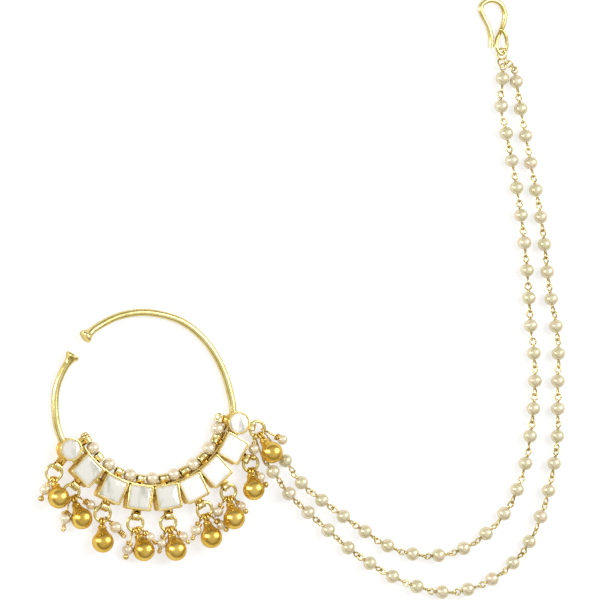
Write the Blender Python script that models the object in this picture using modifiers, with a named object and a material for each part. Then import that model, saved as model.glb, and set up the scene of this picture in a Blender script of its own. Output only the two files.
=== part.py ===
"""Nath nose ring with its two pearl strands and hair hook, laid flat and face up.

The hoop lies on the surface z = 0 and its stones look up along +Z. +Y runs from the
bells towards the hair hook. The layout is drawn round the middle of the arc that the
stone settings follow; one empty then carries the whole jewel to its rest place, with
the origin below the middle of its box. Metres throughout.
"""

import math
from collections import namedtuple

import bmesh
import bpy
from mathutils import Matrix, Vector

MM = 0.001

# Clearances
FLOOR_GAP = 0.02 * MM
STONE_GAP = 0.12 * MM

# Hoop wire
SETTING_RADIUS = 22.2 * MM
HOOP_WIRE = 1.65 * MM
HOOP_STEP = 4.6 * MM
FLARE_WIDTH = 3.3 * MM
FLARE_LENGTH = 2.3 * MM

# Stone settings
SQUARE_SIDE = 5.6 * MM
ROUND_WIDTH = 5.0 * MM
SETTING_HEIGHT = 3.7 * MM
SETTING_TAPER = 0.2 * MM
SETTING_CORNER = 0.55 * MM
SETTING_WALL = 0.35 * MM
STONE_SEAT_DEPTH = 1.75 * MM
STONE_GIRDLE = 0.9 * MM
STONE_CROWN = 0.5 * MM
STONE_CROWN_RUN = 0.75 * MM
STONE_CORNER = 0.5 * MM

# Tubes soldered to the settings
TUBE_WIDTH = 1.9 * MM
TUBE_BORE = 1.3 * MM
INNER_TUBE_LENGTH = 1.6 * MM
OUTER_TUBE_LENGTH = 1.25 * MM
TUBE_NECK_WIDTH = 0.8 * MM
TUBE_NECK_HEIGHT = 0.9 * MM
INNER_TUBE_REACH = 4.3 * MM
OUTER_TUBE_REACH = 4.35 * MM

# Pearl string inside the row of settings
STRING_PEARL = 2.9 * MM
STRING_WIRE = 0.4 * MM
STRING_KNOT = 1.5 * MM
STRING_KNOT_LENGTH = 0.5 * MM
STRING_KNOT_GAP = 0.15 * MM

# Jump rings
JUMP_RING_WIDTH = 4.2 * MM
JUMP_RING_WIRE = 0.6 * MM
JUMP_RING_DROP = 0.6 * MM
JUMP_RING_INSET = 0.12 * MM

# Bells
BELL_WIDTH = 4.75 * MM
BELL_REACH = 4.7 * MM
BELL_NECK = 1.0 * MM
BELL_LOOP_WIDTH = 2.1 * MM
BELL_LOOP_WIRE = 0.45 * MM

# Pearl drops
DROP_PEARL = 2.4 * MM
DROP_WIRE = 0.4 * MM
DROP_COLLAR = 1.1 * MM
DROP_COLLAR_LENGTH = 0.9 * MM
DROP_HEAD = 0.9 * MM
DROP_LOOP_WIDTH = 1.8 * MM
DROP_LOOP_WIRE = 0.3 * MM
HANG_OFFSET = 0.08 * MM

# Pearl strands
STRAND_PEARL = 3.0 * MM
STRAND_PITCH = 6.37 * MM
STRAND_WIRE = 0.4 * MM
STRAND_LOOP_WIDTH = 1.9 * MM
STRAND_LOOP_WIRE = 0.36 * MM

# Hair hook and the ring in its eye
HOOK_PLACE = (85.5 * MM, 79.7 * MM)
HOOK_LENGTH = 12.5 * MM
HOOK_WIRE = 1.0 * MM
HOOK_EYE_LIFT = 0.8 * MM
HOOK_RING_WIDTH = 3.0 * MM
HOOK_RING_WIRE = 0.44 * MM
HOOK_RING_TILT = math.radians(55)

# Facets
BEAD_SIDES = 10
BELL_SIDES = 10
LINK_SIDES = 10
EYE_SIDES = 8
WIRE_SIDES = 5
TUBE_SIDES = 6
BORE_SIDES = 6
ROUND_SIDES = 12

# Centre line of the hoop from the lower flare round to the upper one: angle in degrees
# and distance from the middle as a share of SETTING_RADIUS
HoopPoint = namedtuple("HoopPoint", "angle share")
HOOP_SHAPE = (
    HoopPoint(150, 0.964),
    HoopPoint(161, 0.991),
    HoopPoint(172, 1.018),
    HoopPoint(182, 1.025),
    HoopPoint(193, 1.032),
    HoopPoint(202, 1.030),
    HoopPoint(210, 1.008),
    HoopPoint(226, 1.0),
    HoopPoint(252, 1.0),
    HoopPoint(278, 1.0),
    HoopPoint(304, 1.0),
    HoopPoint(330, 1.0),
    HoopPoint(346, 0.964),
    HoopPoint(353, 0.914),
    HoopPoint(360, 0.896),
    HoopPoint(379, 0.860),
    HoopPoint(397, 0.858),
    HoopPoint(414, 0.872),
    HoopPoint(431, 0.890),
    HoopPoint(452, 0.910),
    HoopPoint(470, 0.932),
    HoopPoint(486, 0.950),
    HoopPoint(498, 0.973),
)

# Flare of a hoop end: shares of FLARE_LENGTH from the tip, and of the growth to FLARE_WIDTH
FlarePoint = namedtuple("FlarePoint", "along growth")
FLARE_SHAPE = (
    FlarePoint(0.0, 1.0),
    FlarePoint(0.22, 0.95),
    FlarePoint(0.5, 0.3),
    FlarePoint(1.0, 0.0),
)

# Settings from left to right: place on the arc in degrees, distance as a share of
# SETTING_RADIUS, outline, tube reaches as shares of the two named ones, turn of the
# outer tube from the radial line and swing of its jump ring from that, in degrees
Setting = namedtuple("Setting", "angle share outline inner outer turn swing")
SETTINGS = (
    Setting(209.3, 1.014, "round", 1.11, 1.08, 24, 10),
    Setting(225.5, 1.0, "square", 1.0, 1.0, 6, 10),
    Setting(244.6, 1.0, "square", 1.0, 1.0, 3, 10),
    Setting(262.1, 1.0, "square", 1.0, 1.0, 0, 7),
    Setting(279.7, 1.0, "square", 1.0, 1.0, -2, -10),
    Setting(296.4, 1.0, "square", 1.0, 1.0, 3, 10),
    Setting(313.4, 1.0, "square", 1.0, 1.0, -4, -10),
    Setting(330.6, 1.0, "square", 1.0, 1.0, -4, -10),
    Setting(346.3, 0.964, "round", 1.04, 0.82, 0, -8),
)

# Bells: jump ring, place on it and bearing in degrees, lift as a share of BELL_WIDTH
Bell = namedtuple("Bell", "ring seat bearing lift")
BELLS = (
    Bell(1, -87, -87, 0.34),
    Bell(2, -70, -70, 0.0),
    Bell(3, -92, -92, 0.0),
    Bell(4, -74, -74, 0.0),
    Bell(5, -76, -76, 0.0),
    Bell(6, -78, -78, 0.0),
    Bell(7, -83, -83, 0.22),
    Bell(8, -90, -90, 0.3),
    Bell(9, -61, -61, 0.2),
)

# Pearl drops: jump ring, place on it and bearing in degrees, then shares of DROP_PEARL
# for the reach, the tail below, the pearl itself and its lift off the surface, and
# whether it has a wound collar and a head at its foot
Drop = namedtuple("Drop", "mark ring seat bearing reach tail pearl lift collar head")
DROPS = (
    Drop("1a", 1, -117, -117, 1.06, 0.92, 1.04, 0.0, False, True),
    Drop("2a", 2, -102, -102, 1.82, 0.92, 1.04, 0.0, True, True),
    Drop("2b", 2, -32, -32, 1.56, 0.75, 0.92, 0.0, True, True),
    Drop("3a", 3, -44, -44, 1.08, 1.05, 1.1, 0.0, False, True),
    Drop("4a", 4, -106, -106, 1.83, 0.7, 1.04, 0.0, True, True),
    Drop("4b", 4, -42, -42, 1.2, 0.7, 0.96, 0.0, True, True),
    Drop("5a", 5, -107, -107, 1.27, 0.74, 0.96, 0.0, True, True),
    Drop("5b", 5, -42, -42, 1.24, 0.68, 1.0, 0.0, False, True),
    Drop("6a", 6, -113, -113, 1.32, 0.78, 1.04, 0.0, True, True),
    Drop("6b", 6, -40, -40, 1.5, 0.62, 0.96, 0.0, True, True),
    Drop("7a", 7, -119, -119, 1.33, 0.0, 1.02, 0.0, True, False),
    Drop("7b", 7, -46, -46, 1.1, 0.66, 0.96, 0.0, False, True),
    Drop("8a", 8, -52, -52, 0.88, 0.9, 0.96, 0.0, False, True),
    Drop("9a", 9, -112, -99, 1.24, 0.86, 1.0, 0.5, False, True),
    Drop("9b", 9, -8, -26, 2.05, 0.0, 0.96, 0.0, True, False),
)

# Places where the strands hang on the ninth jump ring and on the hook ring, in degrees
Anchor = namedtuple("Anchor", "jump_seat hook_seat")
INNER_ANCHOR = Anchor(-36, -106)
OUTER_ANCHOR = Anchor(-86, -54)

# Routes of the two strands over the surface, from the hook to the nath, in millimetres:
# the pearls lie between the first and the last point
INNER_ROUTE = (
    (85.6, 74.1),
    (85.3, 67.9),
    (87.9, 55.2),
    (90.1, 43.0),
    (91.6, 30.6),
    (92.5, 17.7),
    (93.6, 6.0),
    (92.6, -7.1),
    (89.8, -19.3),
    (83.5, -29.1),
    (73.0, -35.2),
    (60.5, -34.6),
    (48.5, -27.8),
    (37.0, -19.3),
    (32.6, -13.8),
)
OUTER_ROUTE = (
    (89.0, 73.4),
    (90.1, 67.0),
    (92.6, 54.3),
    (95.3, 40.5),
    (97.0, 26.7),
    (99.2, 13.8),
    (99.2, 2.5),
    (99.0, -9.7),
    (96.6, -22.1),
    (91.9, -33.2),
    (83.7, -40.9),
    (72.5, -44.2),
    (60.8, -41.4),
    (49.5, -35.0),
    (39.7, -26.9),
    (34.8, -22.8),
    (29.6, -16.3),
)

# Where each strand's bare end passes under the ninth bell, in millimetres
INNER_END_DIP = (30.4, -11.2, 0.55)
OUTER_END_DIP = (27.6, -12.2, 0.55)

# Outline of one bead on its wire: shares of its radius along and across
BeadRing = namedtuple("BeadRing", "along across")
BEAD_SHAPE = (
    BeadRing(-0.97, 0.0),
    BeadRing(-0.46, 0.95),
    BeadRing(0.46, 0.95),
    BeadRing(0.97, 0.0),
)

# Bend of the hair hook from its tip to the end of its eye: shares of HOOK_LENGTH across
# and along from the foot of the eye, lift as a share of HOOK_EYE_LIFT and wire as a
# share of HOOK_WIRE
HookPoint = namedtuple("HookPoint", "across along lift wire")
HOOK_SHAPE = (
    HookPoint(-0.184, 0.125, 0.0, 1.0),
    HookPoint(-0.19, 0.312, 0.0, 1.0),
    HookPoint(-0.248, 0.52, 0.0, 1.0),
    HookPoint(-0.336, 0.68, 0.0, 1.0),
    HookPoint(-0.392, 0.816, 0.0, 1.0),
    HookPoint(-0.352, 0.93, 0.0, 1.0),
    HookPoint(-0.188, 1.0, 0.0, 1.0),
    HookPoint(-0.008, 0.936, 0.0, 1.0),
    HookPoint(0.08, 0.76, 0.0, 1.0),
    HookPoint(0.064, 0.58, 0.0, 0.95),
    HookPoint(0.0, 0.42, 0.1, 0.8),
    HookPoint(-0.09, 0.26, 0.6, 0.7),
    HookPoint(-0.096, 0.11, 1.0, 0.7),
    HookPoint(0.0, 0.0, 1.0, 0.7),
    HookPoint(0.092, 0.11, 1.1, 0.7),
    HookPoint(0.09, 0.24, 1.35, 0.7),
    HookPoint(0.058, 0.35, 1.65, 0.7),
)


def clear_scene():
    """Removes every object that the script finds."""
    for thing in list(bpy.data.objects):
        bpy.data.objects.remove(thing, do_unlink=True)


def new_collection(name, hidden):
    """Returns a new collection in the scene."""
    collection = bpy.data.collections.new(name)
    collection.hide_render = hidden
    bpy.context.scene.collection.children.link(collection)
    return collection


def principled(name, colour, roughness, metallic):
    """Returns a plain Principled material."""
    material = bpy.data.materials.new(name)
    material.use_nodes = True
    shader = material.node_tree.nodes["Principled BSDF"]
    shader.inputs["Base Color"].default_value = (*colour, 1.0)
    shader.inputs["Roughness"].default_value = roughness
    shader.inputs["Metallic"].default_value = metallic
    return material


def add_object(name, data, collection, material, root=None):
    """Links a new object and gives its data one material."""
    thing = bpy.data.objects.new(name, data)
    if material is not None and not data.materials:
        data.materials.append(material)
    collection.objects.link(thing)
    thing.parent = root
    return thing


def direction(degrees):
    """Returns the level unit vector at an angle from +X."""
    angle = math.radians(degrees)
    return Vector((math.cos(angle), math.sin(angle), 0))


def frame_along(origin, axis, side):
    """Returns the matrix whose Z runs along axis and whose X lies towards side."""
    z_axis = axis.normalized()
    y_axis = z_axis.cross(side).normalized()
    x_axis = y_axis.cross(z_axis)
    turn = Matrix((x_axis, y_axis, z_axis)).transposed()
    return Matrix.Translation(origin) @ turn.to_4x4()


def smooth_line(points, samples=12):
    """Returns a close-set line through the points, by a Catmull-Rom curve."""
    ends = [points[0] * 2 - points[1], *points, points[-1] * 2 - points[-2]]
    line = []
    for a, b, c, d in zip(ends, ends[1:], ends[2:], ends[3:]):
        for step in range(samples):
            t = step / samples
            line.append(
                0.5
                * (
                    2 * b
                    + (c - a) * t
                    + (2 * a - 5 * b + 4 * c - d) * t * t
                    + (3 * b - a - 3 * c + d) * t * t * t
                )
            )
    line.append(points[-1])
    return line


def line_length(line):
    """Returns the length of a line of points."""
    return sum((b - a).length for a, b in zip(line, line[1:]))


def walk(line, distance):
    """Returns the point and the direction at a distance along a line of points."""
    for a, b in zip(line, line[1:]):
        span = (b - a).length
        if distance <= span or b is line[-1]:
            return a + (b - a) * (distance / span), (b - a).normalized()
        distance -= span


def tube(name, points, widths, resolution):
    """Returns a curve for a round tube of varying width through the points."""
    curve = bpy.data.curves.new(name, "CURVE")
    curve.dimensions = "3D"
    curve.bevel_depth = 1.0
    curve.bevel_resolution = resolution
    curve.use_fill_caps = True
    spline = curve.splines.new("POLY")
    spline.points.add(len(points) - 1)
    for knot, point, width in zip(spline.points, points, widths):
        knot.co = (*point, 1.0)
        knot.radius = width / 2
    return curve


def mesh_of(thing):
    """Returns the evaluated mesh of an object with its doubles merged."""
    bpy.context.view_layer.update()
    graph = bpy.context.evaluated_depsgraph_get()
    mesh = bpy.data.meshes.new_from_object(thing.evaluated_get(graph))
    work = bmesh.new()
    work.from_mesh(mesh)
    bmesh.ops.remove_doubles(work, verts=work.verts, dist=1e-7)
    work.to_mesh(mesh)
    work.free()
    return mesh


def tube_mesh(name, points, widths, resolution, collection):
    """Returns a tube as a mesh with welded caps."""
    curve = tube(name, points, widths, resolution)
    thing = add_object(name, curve, collection, None)
    mesh = mesh_of(thing)
    mesh.name = name
    bpy.data.objects.remove(thing)
    bpy.data.curves.remove(curve)
    return mesh


def turned_mesh(name, profile, sides, collection):
    """Returns the solid that a profile of radius and height sweeps round Z."""
    outline = bpy.data.meshes.new(name)
    edges = [(i, i + 1) for i in range(len(profile) - 1)]
    outline.from_pydata([(radius, 0, height) for radius, height in profile], edges, [])
    thing = add_object(name, outline, collection, None)
    screw = thing.modifiers.new("turn", "SCREW")
    screw.steps = sides
    screw.render_steps = sides
    screw.use_merge_vertices = True
    screw.merge_threshold = 1e-6
    mesh = mesh_of(thing)
    mesh.name = name
    bpy.data.objects.remove(thing)
    bpy.data.meshes.remove(outline)
    return mesh


def ring_mesh(name, width, wire, sides):
    """Returns a ring of round wire in the XY plane from its outer width."""
    bpy.ops.mesh.primitive_torus_add(
        major_segments=sides,
        minor_segments=WIRE_SIDES,
        major_radius=(width - wire) / 2,
        minor_radius=wire / 2,
    )
    thing = bpy.context.object
    mesh = thing.data
    mesh.name = name
    mesh.transform(Matrix.Rotation(math.pi / sides, 4, "Z"))
    bpy.data.objects.remove(thing)
    return mesh


def united(name, meshes, collection):
    """Returns one solid from meshes that overlap in pairs with the first."""
    things = [add_object(f"{name}_{i}", mesh, collection, None) for i, mesh in enumerate(meshes)]
    for other in things[1:]:
        join = things[0].modifiers.new("join", "BOOLEAN")
        join.operation = "UNION"
        join.solver = "EXACT"
        join.object = other
    mesh = mesh_of(things[0])
    mesh.name = name
    for thing in things:
        bpy.data.objects.remove(thing)
    return mesh


def moved(mesh, matrix):
    """Moves a mesh by a matrix and returns it."""
    mesh.transform(matrix)
    return mesh


def smooth(mesh, angle=40):
    """Shades a mesh smooth apart from its sharp edges."""
    mesh.shade_smooth()
    mesh.set_sharp_from_angle(angle=math.radians(angle))


def prism(name, sides, foot, head, height, corner=0.0, corner_cuts=1):
    """Returns an upright solid that stands on z = 0, from its widths across flats."""
    across = math.cos(math.pi / sides) * 2
    work = bmesh.new()
    bmesh.ops.create_cone(
        work,
        cap_ends=True,
        segments=sides,
        radius1=foot / across,
        radius2=head / across,
        depth=height,
        matrix=Matrix.Translation((0, 0, height / 2)) @ Matrix.Rotation(math.pi / sides, 4, "Z"),
    )
    if corner:
        edges = [e for e in work.edges if abs(e.verts[0].co.z - e.verts[1].co.z) > height / 2]
        bmesh.ops.bevel(
            work, geom=edges, offset=corner, segments=corner_cuts, profile=0.5, affect="EDGES"
        )
    mesh = bpy.data.meshes.new(name)
    work.to_mesh(mesh)
    work.free()
    return mesh


def cut_stone_mesh(name, sides, width, corner):
    """Returns a stone with a table, crown facets and an upright girdle."""
    mesh = prism(name, sides, width, width - 2 * STONE_CROWN_RUN, STONE_CROWN, corner)
    work = bmesh.new()
    work.from_mesh(mesh)
    foot = [f for f in work.faces if f.calc_center_median().z < STONE_CROWN * 0.01]
    grown = bmesh.ops.extrude_face_region(work, geom=foot)["geom"]
    bmesh.ops.delete(work, geom=foot, context="FACES_ONLY")
    verts = [v for v in grown if isinstance(v, bmesh.types.BMVert)]
    bmesh.ops.translate(work, verts=verts, vec=(0, 0, -STONE_GIRDLE))
    bmesh.ops.translate(work, verts=work.verts, vec=(0, 0, STONE_GIRDLE))
    bmesh.ops.recalc_face_normals(work, faces=work.faces)
    work.to_mesh(mesh)
    work.free()
    return mesh


def setting_place(setting):
    """Returns the foot of a setting's middle."""
    return direction(setting.angle) * SETTING_RADIUS * setting.share


def setting_width(setting):
    """Returns the width of a setting across its top."""
    return SQUARE_SIDE if setting.outline == "square" else ROUND_WIDTH


def inner_tube_place(setting):
    """Returns the middle of a setting's inner tube."""
    reach = direction(setting.angle) * INNER_TUBE_REACH * setting.inner
    return setting_place(setting) - reach + Vector((0, 0, SETTING_HEIGHT / 2))


def outer_tube_place(setting):
    """Returns the middle of a setting's outer tube."""
    reach = direction(setting.angle + setting.turn) * OUTER_TUBE_REACH * setting.outer
    return setting_place(setting) + reach + Vector((0, 0, SETTING_HEIGHT / 2))


def hoop_line():
    """Returns the hoop's centre line with its distances and widths, flare to flare."""
    height = HOOP_WIRE / 2 + FLOOR_GAP
    line = smooth_line(
        [
            direction(p.angle) * SETTING_RADIUS * p.share + Vector((0, 0, height))
            for p in HOOP_SHAPE
        ]
    )
    length = line_length(line)
    start = [p.along * FLARE_LENGTH for p in FLARE_SHAPE]
    growth = [HOOP_WIRE + (FLARE_WIDTH - HOOP_WIRE) * p.growth for p in FLARE_SHAPE]
    plain = length - 2 * FLARE_LENGTH
    count = round(plain / HOOP_STEP)
    middle = [FLARE_LENGTH + plain * i / count for i in range(1, count)]
    marks = start + middle + [length - d for d in reversed(start)]
    widths = growth + [HOOP_WIRE] * len(middle) + list(reversed(growth))
    points = [walk(line, mark)[0] for mark in marks]
    return lift_flares(points, widths), widths


def lift_flares(points, widths):
    """Raises the hoop's points where its wire is wider, so that it rests on the surface."""
    raised = []
    for point, width in zip(points, widths):
        height = max(width / 2, HOOP_WIRE / 2) + FLOOR_GAP
        raised.append(Vector((point.x, point.y, height)))
    return raised


def tube_blank(name, middle, towards, length, neck_length):
    """Returns the meshes of a soldered tube: its barrel, its neck and its bore."""
    axis = towards.cross(Vector((0, 0, 1)))
    across = frame_along(middle, axis, Vector((0, 0, 1)))
    half = Matrix.Translation((0, 0, -length / 2))
    barrel = moved(
        prism(f"{name}_barrel", TUBE_SIDES, TUBE_WIDTH, TUBE_WIDTH, length), across @ half
    )
    run = length * 1.5
    bore = moved(
        prism(f"{name}_bore", BORE_SIDES, TUBE_BORE, TUBE_BORE, run),
        across @ Matrix.Translation((0, 0, -run / 2)),
    )
    work = bmesh.new()
    bmesh.ops.create_cube(work, size=1)
    bmesh.ops.scale(work, vec=(TUBE_NECK_HEIGHT, TUBE_NECK_WIDTH, neck_length), verts=work.verts)
    bmesh.ops.translate(work, vec=(0, 0, neck_length / 2), verts=work.verts)
    neck = bpy.data.meshes.new(f"{name}_neck")
    work.to_mesh(neck)
    work.free()
    moved(neck, frame_along(middle, -towards, Vector((0, 0, 1))))
    return barrel, neck, bore


def build_hoop_frame(parts, blanks, cutters, material, root):
    """Builds the hoop with its settings and tubes as one soldered solid."""
    points, widths = hoop_line()
    hoop = tube_mesh("hoop_frame", points, widths, 3, blanks)
    frame = add_object("hoop_frame", hoop, parts, material, root)
    for number, setting in enumerate(SETTINGS, 1):
        width = setting_width(setting)
        place = Matrix.Translation(setting_place(setting) + Vector((0, 0, FLOOR_GAP)))
        place = place @ Matrix.Rotation(math.radians(setting.angle), 4, "Z")
        square = setting.outline == "square"
        sides = 4 if square else ROUND_SIDES
        corner = SETTING_CORNER if square else 0.0
        body = prism(
            f"setting_{number}", sides, width - 2 * SETTING_TAPER, width, SETTING_HEIGHT, corner
        )
        add_object(f"setting_{number}", moved(body, place), blanks, None)
        inside = width - 2 * SETTING_WALL
        seat = prism(f"seat_{number}", sides, inside, inside, SETTING_HEIGHT)
        lift = Matrix.Translation((0, 0, SETTING_HEIGHT - STONE_SEAT_DEPTH))
        add_object(f"seat_{number}", moved(seat, place @ lift), cutters, None)
        build_tubes(number, setting, blanks, cutters)
    for operation, collection in (("UNION", blanks), ("DIFFERENCE", cutters)):
        change = frame.modifiers.new(operation.lower(), "BOOLEAN")
        change.operation = operation
        change.solver = "EXACT"
        change.operand_type = "COLLECTION"
        change.collection = collection
    mesh = mesh_of(frame)
    frame.modifiers.clear()
    frame.data = mesh
    mesh.name = "hoop_frame"


def build_tubes(number, setting, blanks, cutters):
    """Adds a setting's inner and outer tube to the blanks and their bores to the cutters."""
    inward = -direction(setting.angle)
    outward = direction(setting.angle + setting.turn)
    for side, middle, towards, length in (
        ("inner", inner_tube_place(setting), inward, INNER_TUBE_LENGTH),
        ("outer", outer_tube_place(setting), outward, OUTER_TUBE_LENGTH),
    ):
        centre = setting_place(setting)
        reach = Vector((middle.x - centre.x, middle.y - centre.y)).length
        neck_length = reach - setting_width(setting) / 2 + SETTING_WALL * 2
        name = f"tube_{side}_{number}"
        barrel, neck, bore = tube_blank(name, middle, towards, length, neck_length)
        add_object(f"{name}_barrel", barrel, blanks, None)
        add_object(f"{name}_neck", neck, blanks, None)
        add_object(f"{name}_bore", bore, cutters, None)


def build_stones(parts, material, root):
    """Builds one cut stone in each setting."""
    for number, setting in enumerate(SETTINGS, 1):
        width = setting_width(setting) - 2 * SETTING_WALL - 2 * STONE_GAP
        square = setting.outline == "square"
        sides = 4 if square else ROUND_SIDES
        corner = STONE_CORNER if square else 0.0
        mesh = cut_stone_mesh(f"stone_{number}", sides, width, corner)
        stone = add_object(f"stone_{number}", mesh, parts, material, root)
        floor = SETTING_HEIGHT - STONE_SEAT_DEPTH + FLOOR_GAP
        stone.location = setting_place(setting) + Vector((0, 0, floor + STONE_GAP))
        stone.rotation_euler = (0, 0, math.radians(setting.angle))


def bead_rings(middle, along, width, wire):
    """Returns the points and widths of one bead on its wire."""
    radius = width / 2
    points = [middle + along * (ring.along * radius) for ring in BEAD_SHAPE]
    widths = [max(wire, ring.across * width) for ring in BEAD_SHAPE]
    return points, widths


def build_inner_string(parts, blanks, material, root):
    """Builds the pearls on their wire through the inner tubes, knotted at both ends."""
    tubes = [inner_tube_place(setting) for setting in SETTINGS]
    points = []
    widths = []
    reach = INNER_TUBE_LENGTH / 2 + STRING_KNOT_GAP
    for end, inward in ((tubes[0], tubes[0] - tubes[1]), (tubes[-1], tubes[-1] - tubes[-2])):
        setting = SETTINGS[0] if end is tubes[0] else SETTINGS[-1]
        axis = direction(setting.angle + 90)
        axis = axis if axis.dot(inward) > 0 else -axis
        knot = [end + axis * (reach + STRING_KNOT_LENGTH), end + axis * reach]
        neck = [end + axis * (reach - STRING_KNOT_GAP / 2), end]
        if end is tubes[0]:
            points += knot + neck
            widths += [STRING_KNOT, STRING_KNOT, STRING_WIRE, STRING_WIRE]
            for a, b in zip(tubes, tubes[1:]):
                rings, across = bead_rings((a + b) / 2, (b - a).normalized(), STRING_PEARL, STRING_WIRE)
                points += rings
                widths += across
        else:
            points += list(reversed(knot + neck))
            widths += [STRING_WIRE, STRING_WIRE, STRING_KNOT, STRING_KNOT]
    mesh = tube_mesh("inner_pearl_string", points, widths, 3, blanks)
    add_object("inner_pearl_string", mesh, parts, material, root)


def ring_frame(setting):
    """Returns the matrix of a jump ring: X points to its far side, Z out of its plane."""
    near = outer_tube_place(setting)
    radius = (JUMP_RING_WIDTH - JUMP_RING_WIRE) / 2
    slope = math.asin(JUMP_RING_DROP / (2 * radius))
    outward = direction(setting.angle + setting.turn + setting.swing)
    x_axis = outward * math.cos(slope) - Vector((0, 0, math.sin(slope)))
    y_axis = Vector((0, 0, 1)).cross(outward)
    z_axis = x_axis.cross(y_axis)
    turn = Matrix((x_axis, y_axis, z_axis)).transposed()
    return Matrix.Translation(near + x_axis * (radius - JUMP_RING_INSET)) @ turn.to_4x4()


def ring_seat(setting, degrees):
    """Returns the point on a jump ring's wire towards a level bearing."""
    frame = ring_frame(setting)
    radius = (JUMP_RING_WIDTH - JUMP_RING_WIRE) / 2
    swing = math.radians(degrees - setting.angle - setting.turn - setting.swing)
    return frame @ Vector((radius * math.cos(swing), radius * math.sin(swing), 0))


def build_jump_rings(parts, material, root):
    """Builds one jump ring in each outer tube, from one shared mesh."""
    mesh = ring_mesh("jump_ring", JUMP_RING_WIDTH, JUMP_RING_WIRE, LINK_SIDES)
    for number, setting in enumerate(SETTINGS, 1):
        ring = add_object(f"jump_ring_{number}", mesh, parts, material, root)
        ring.matrix_local = ring_frame(setting)


def bell_mesh(blanks):
    """Returns a round bell below its neck and loop, which has its middle at the origin."""
    radius = BELL_WIDTH / 2
    turns = [math.radians(degrees) for degrees in (0, 45, 90, 135)]
    profile = [(radius * math.sin(t), BELL_REACH + radius * math.cos(t)) for t in turns]
    loop_reach = (BELL_LOOP_WIDTH - BELL_LOOP_WIRE) / 2
    shoulder = BELL_REACH - radius * 1.08
    profile.append((BELL_NECK * 0.8, shoulder))
    profile.append((BELL_NECK / 2, loop_reach))
    profile.append((0, loop_reach))
    body = turned_mesh("bell_body", profile, BELL_SIDES, blanks)
    upright = Matrix.Rotation(math.pi / 2, 4, "X")
    loop = ring_mesh("bell_loop", BELL_LOOP_WIDTH, BELL_LOOP_WIRE, EYE_SIDES)
    return united("bell", [body, moved(loop, upright)], blanks)


def hang(thing, setting, seat, bearing, drop_height, reach):
    """Hangs a piece on a jump ring, its Z running down its length to drop_height."""
    wire = ring_seat(setting, seat)
    level = math.sqrt(reach**2 - (wire.z - drop_height) ** 2)
    towards = direction(bearing)
    axis = towards * level + Vector((0, 0, drop_height - wire.z))
    start = wire + axis.normalized() * HANG_OFFSET
    thing.matrix_local = frame_along(start, axis, Vector((0, 0, 1)))


def build_bells(parts, blanks, material, root):
    """Builds the nine bells from one shared mesh."""
    mesh = bell_mesh(blanks)
    smooth(mesh)
    for bell in BELLS:
        thing = add_object(f"bell_{bell.ring}", mesh, parts, material, root)
        height = BELL_WIDTH * (0.5 + bell.lift) + FLOOR_GAP
        hang(thing, SETTINGS[bell.ring - 1], bell.seat, bell.bearing, height, BELL_REACH)


def drop_mesh(drop, blanks):
    """Returns a pearl drop below its loop, which has its middle at the origin."""
    pearl = DROP_PEARL * drop.pearl / 2
    middle = DROP_PEARL * drop.reach
    wire = DROP_WIRE / 2
    top = (DROP_LOOP_WIDTH - DROP_LOOP_WIRE) / 2
    foot, low, high, neck = [(middle - ring.along * pearl, ring.across * pearl) for ring in BEAD_SHAPE]
    profile = [(0, foot[0])]
    if drop.head:
        head = middle + DROP_PEARL * drop.tail
        profile = [(0, head + DROP_HEAD / 2), (DROP_HEAD / 2, head)]
    profile += [(wire, foot[0]), (low[1], low[0]), (high[1], high[0])]
    profile.append((DROP_COLLAR / 2 if drop.collar else wire, neck[0]))
    if drop.collar:
        profile.append((wire, neck[0] - DROP_COLLAR_LENGTH))
    profile.append((wire, top))
    profile.append((0, top))
    body = turned_mesh(f"drop_{drop.mark}_body", profile, BEAD_SIDES, blanks)
    upright = Matrix.Rotation(math.pi / 2, 4, "X")
    loop = ring_mesh(f"drop_{drop.mark}_loop", DROP_LOOP_WIDTH, DROP_LOOP_WIRE, EYE_SIDES)
    return united(f"pearl_drop_{drop.mark}", [body, moved(loop, upright)], blanks)


def build_drops(parts, blanks, material, root):
    """Builds the pearl drops on their jump rings."""
    for drop in DROPS:
        mesh = drop_mesh(drop, blanks)
        smooth(mesh)
        thing = add_object(f"pearl_drop_{drop.mark}", mesh, parts, material, root)
        height = DROP_PEARL * (drop.pearl / 2 + drop.lift) + FLOOR_GAP
        reach = DROP_PEARL * drop.reach
        hang(thing, SETTINGS[drop.ring - 1], drop.seat, drop.bearing, height, reach)


def hook_foot():
    """Returns the middle of the wire at the foot of the hook's eye."""
    height = HOOK_WIRE / 2 + FLOOR_GAP + HOOK_EYE_LIFT
    return Vector((*HOOK_PLACE, height))


def hook_ring_frame():
    """Returns the matrix of the ring in the hook's eye, tipped up on its right side."""
    return Matrix.Translation(hook_foot()) @ Matrix.Rotation(-HOOK_RING_TILT, 4, "Y")


def hook_ring_seat(degrees):
    """Returns the point on the hook ring's wire at an angle round it."""
    radius = (HOOK_RING_WIDTH - HOOK_RING_WIRE) / 2
    return hook_ring_frame() @ (direction(degrees) * radius)


def build_hook(parts, blanks, material, root):
    """Builds the hair hook as one bent wire."""
    foot = hook_foot()
    knots = []
    wires = []
    for point in HOOK_SHAPE:
        height = HOOK_WIRE * point.wire / 2 + FLOOR_GAP
        height = max(height, HOOK_WIRE / 2 + FLOOR_GAP + HOOK_EYE_LIFT * point.lift)
        x = foot.x + HOOK_LENGTH * point.across
        y = foot.y + HOOK_LENGTH * point.along
        knots.append(Vector((x, y, height)))
        wires.append(HOOK_WIRE * point.wire)
    mesh = tube_mesh("hair_hook", knots, wires, 3, blanks)
    add_object("hair_hook", mesh, parts, material, root)


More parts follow.
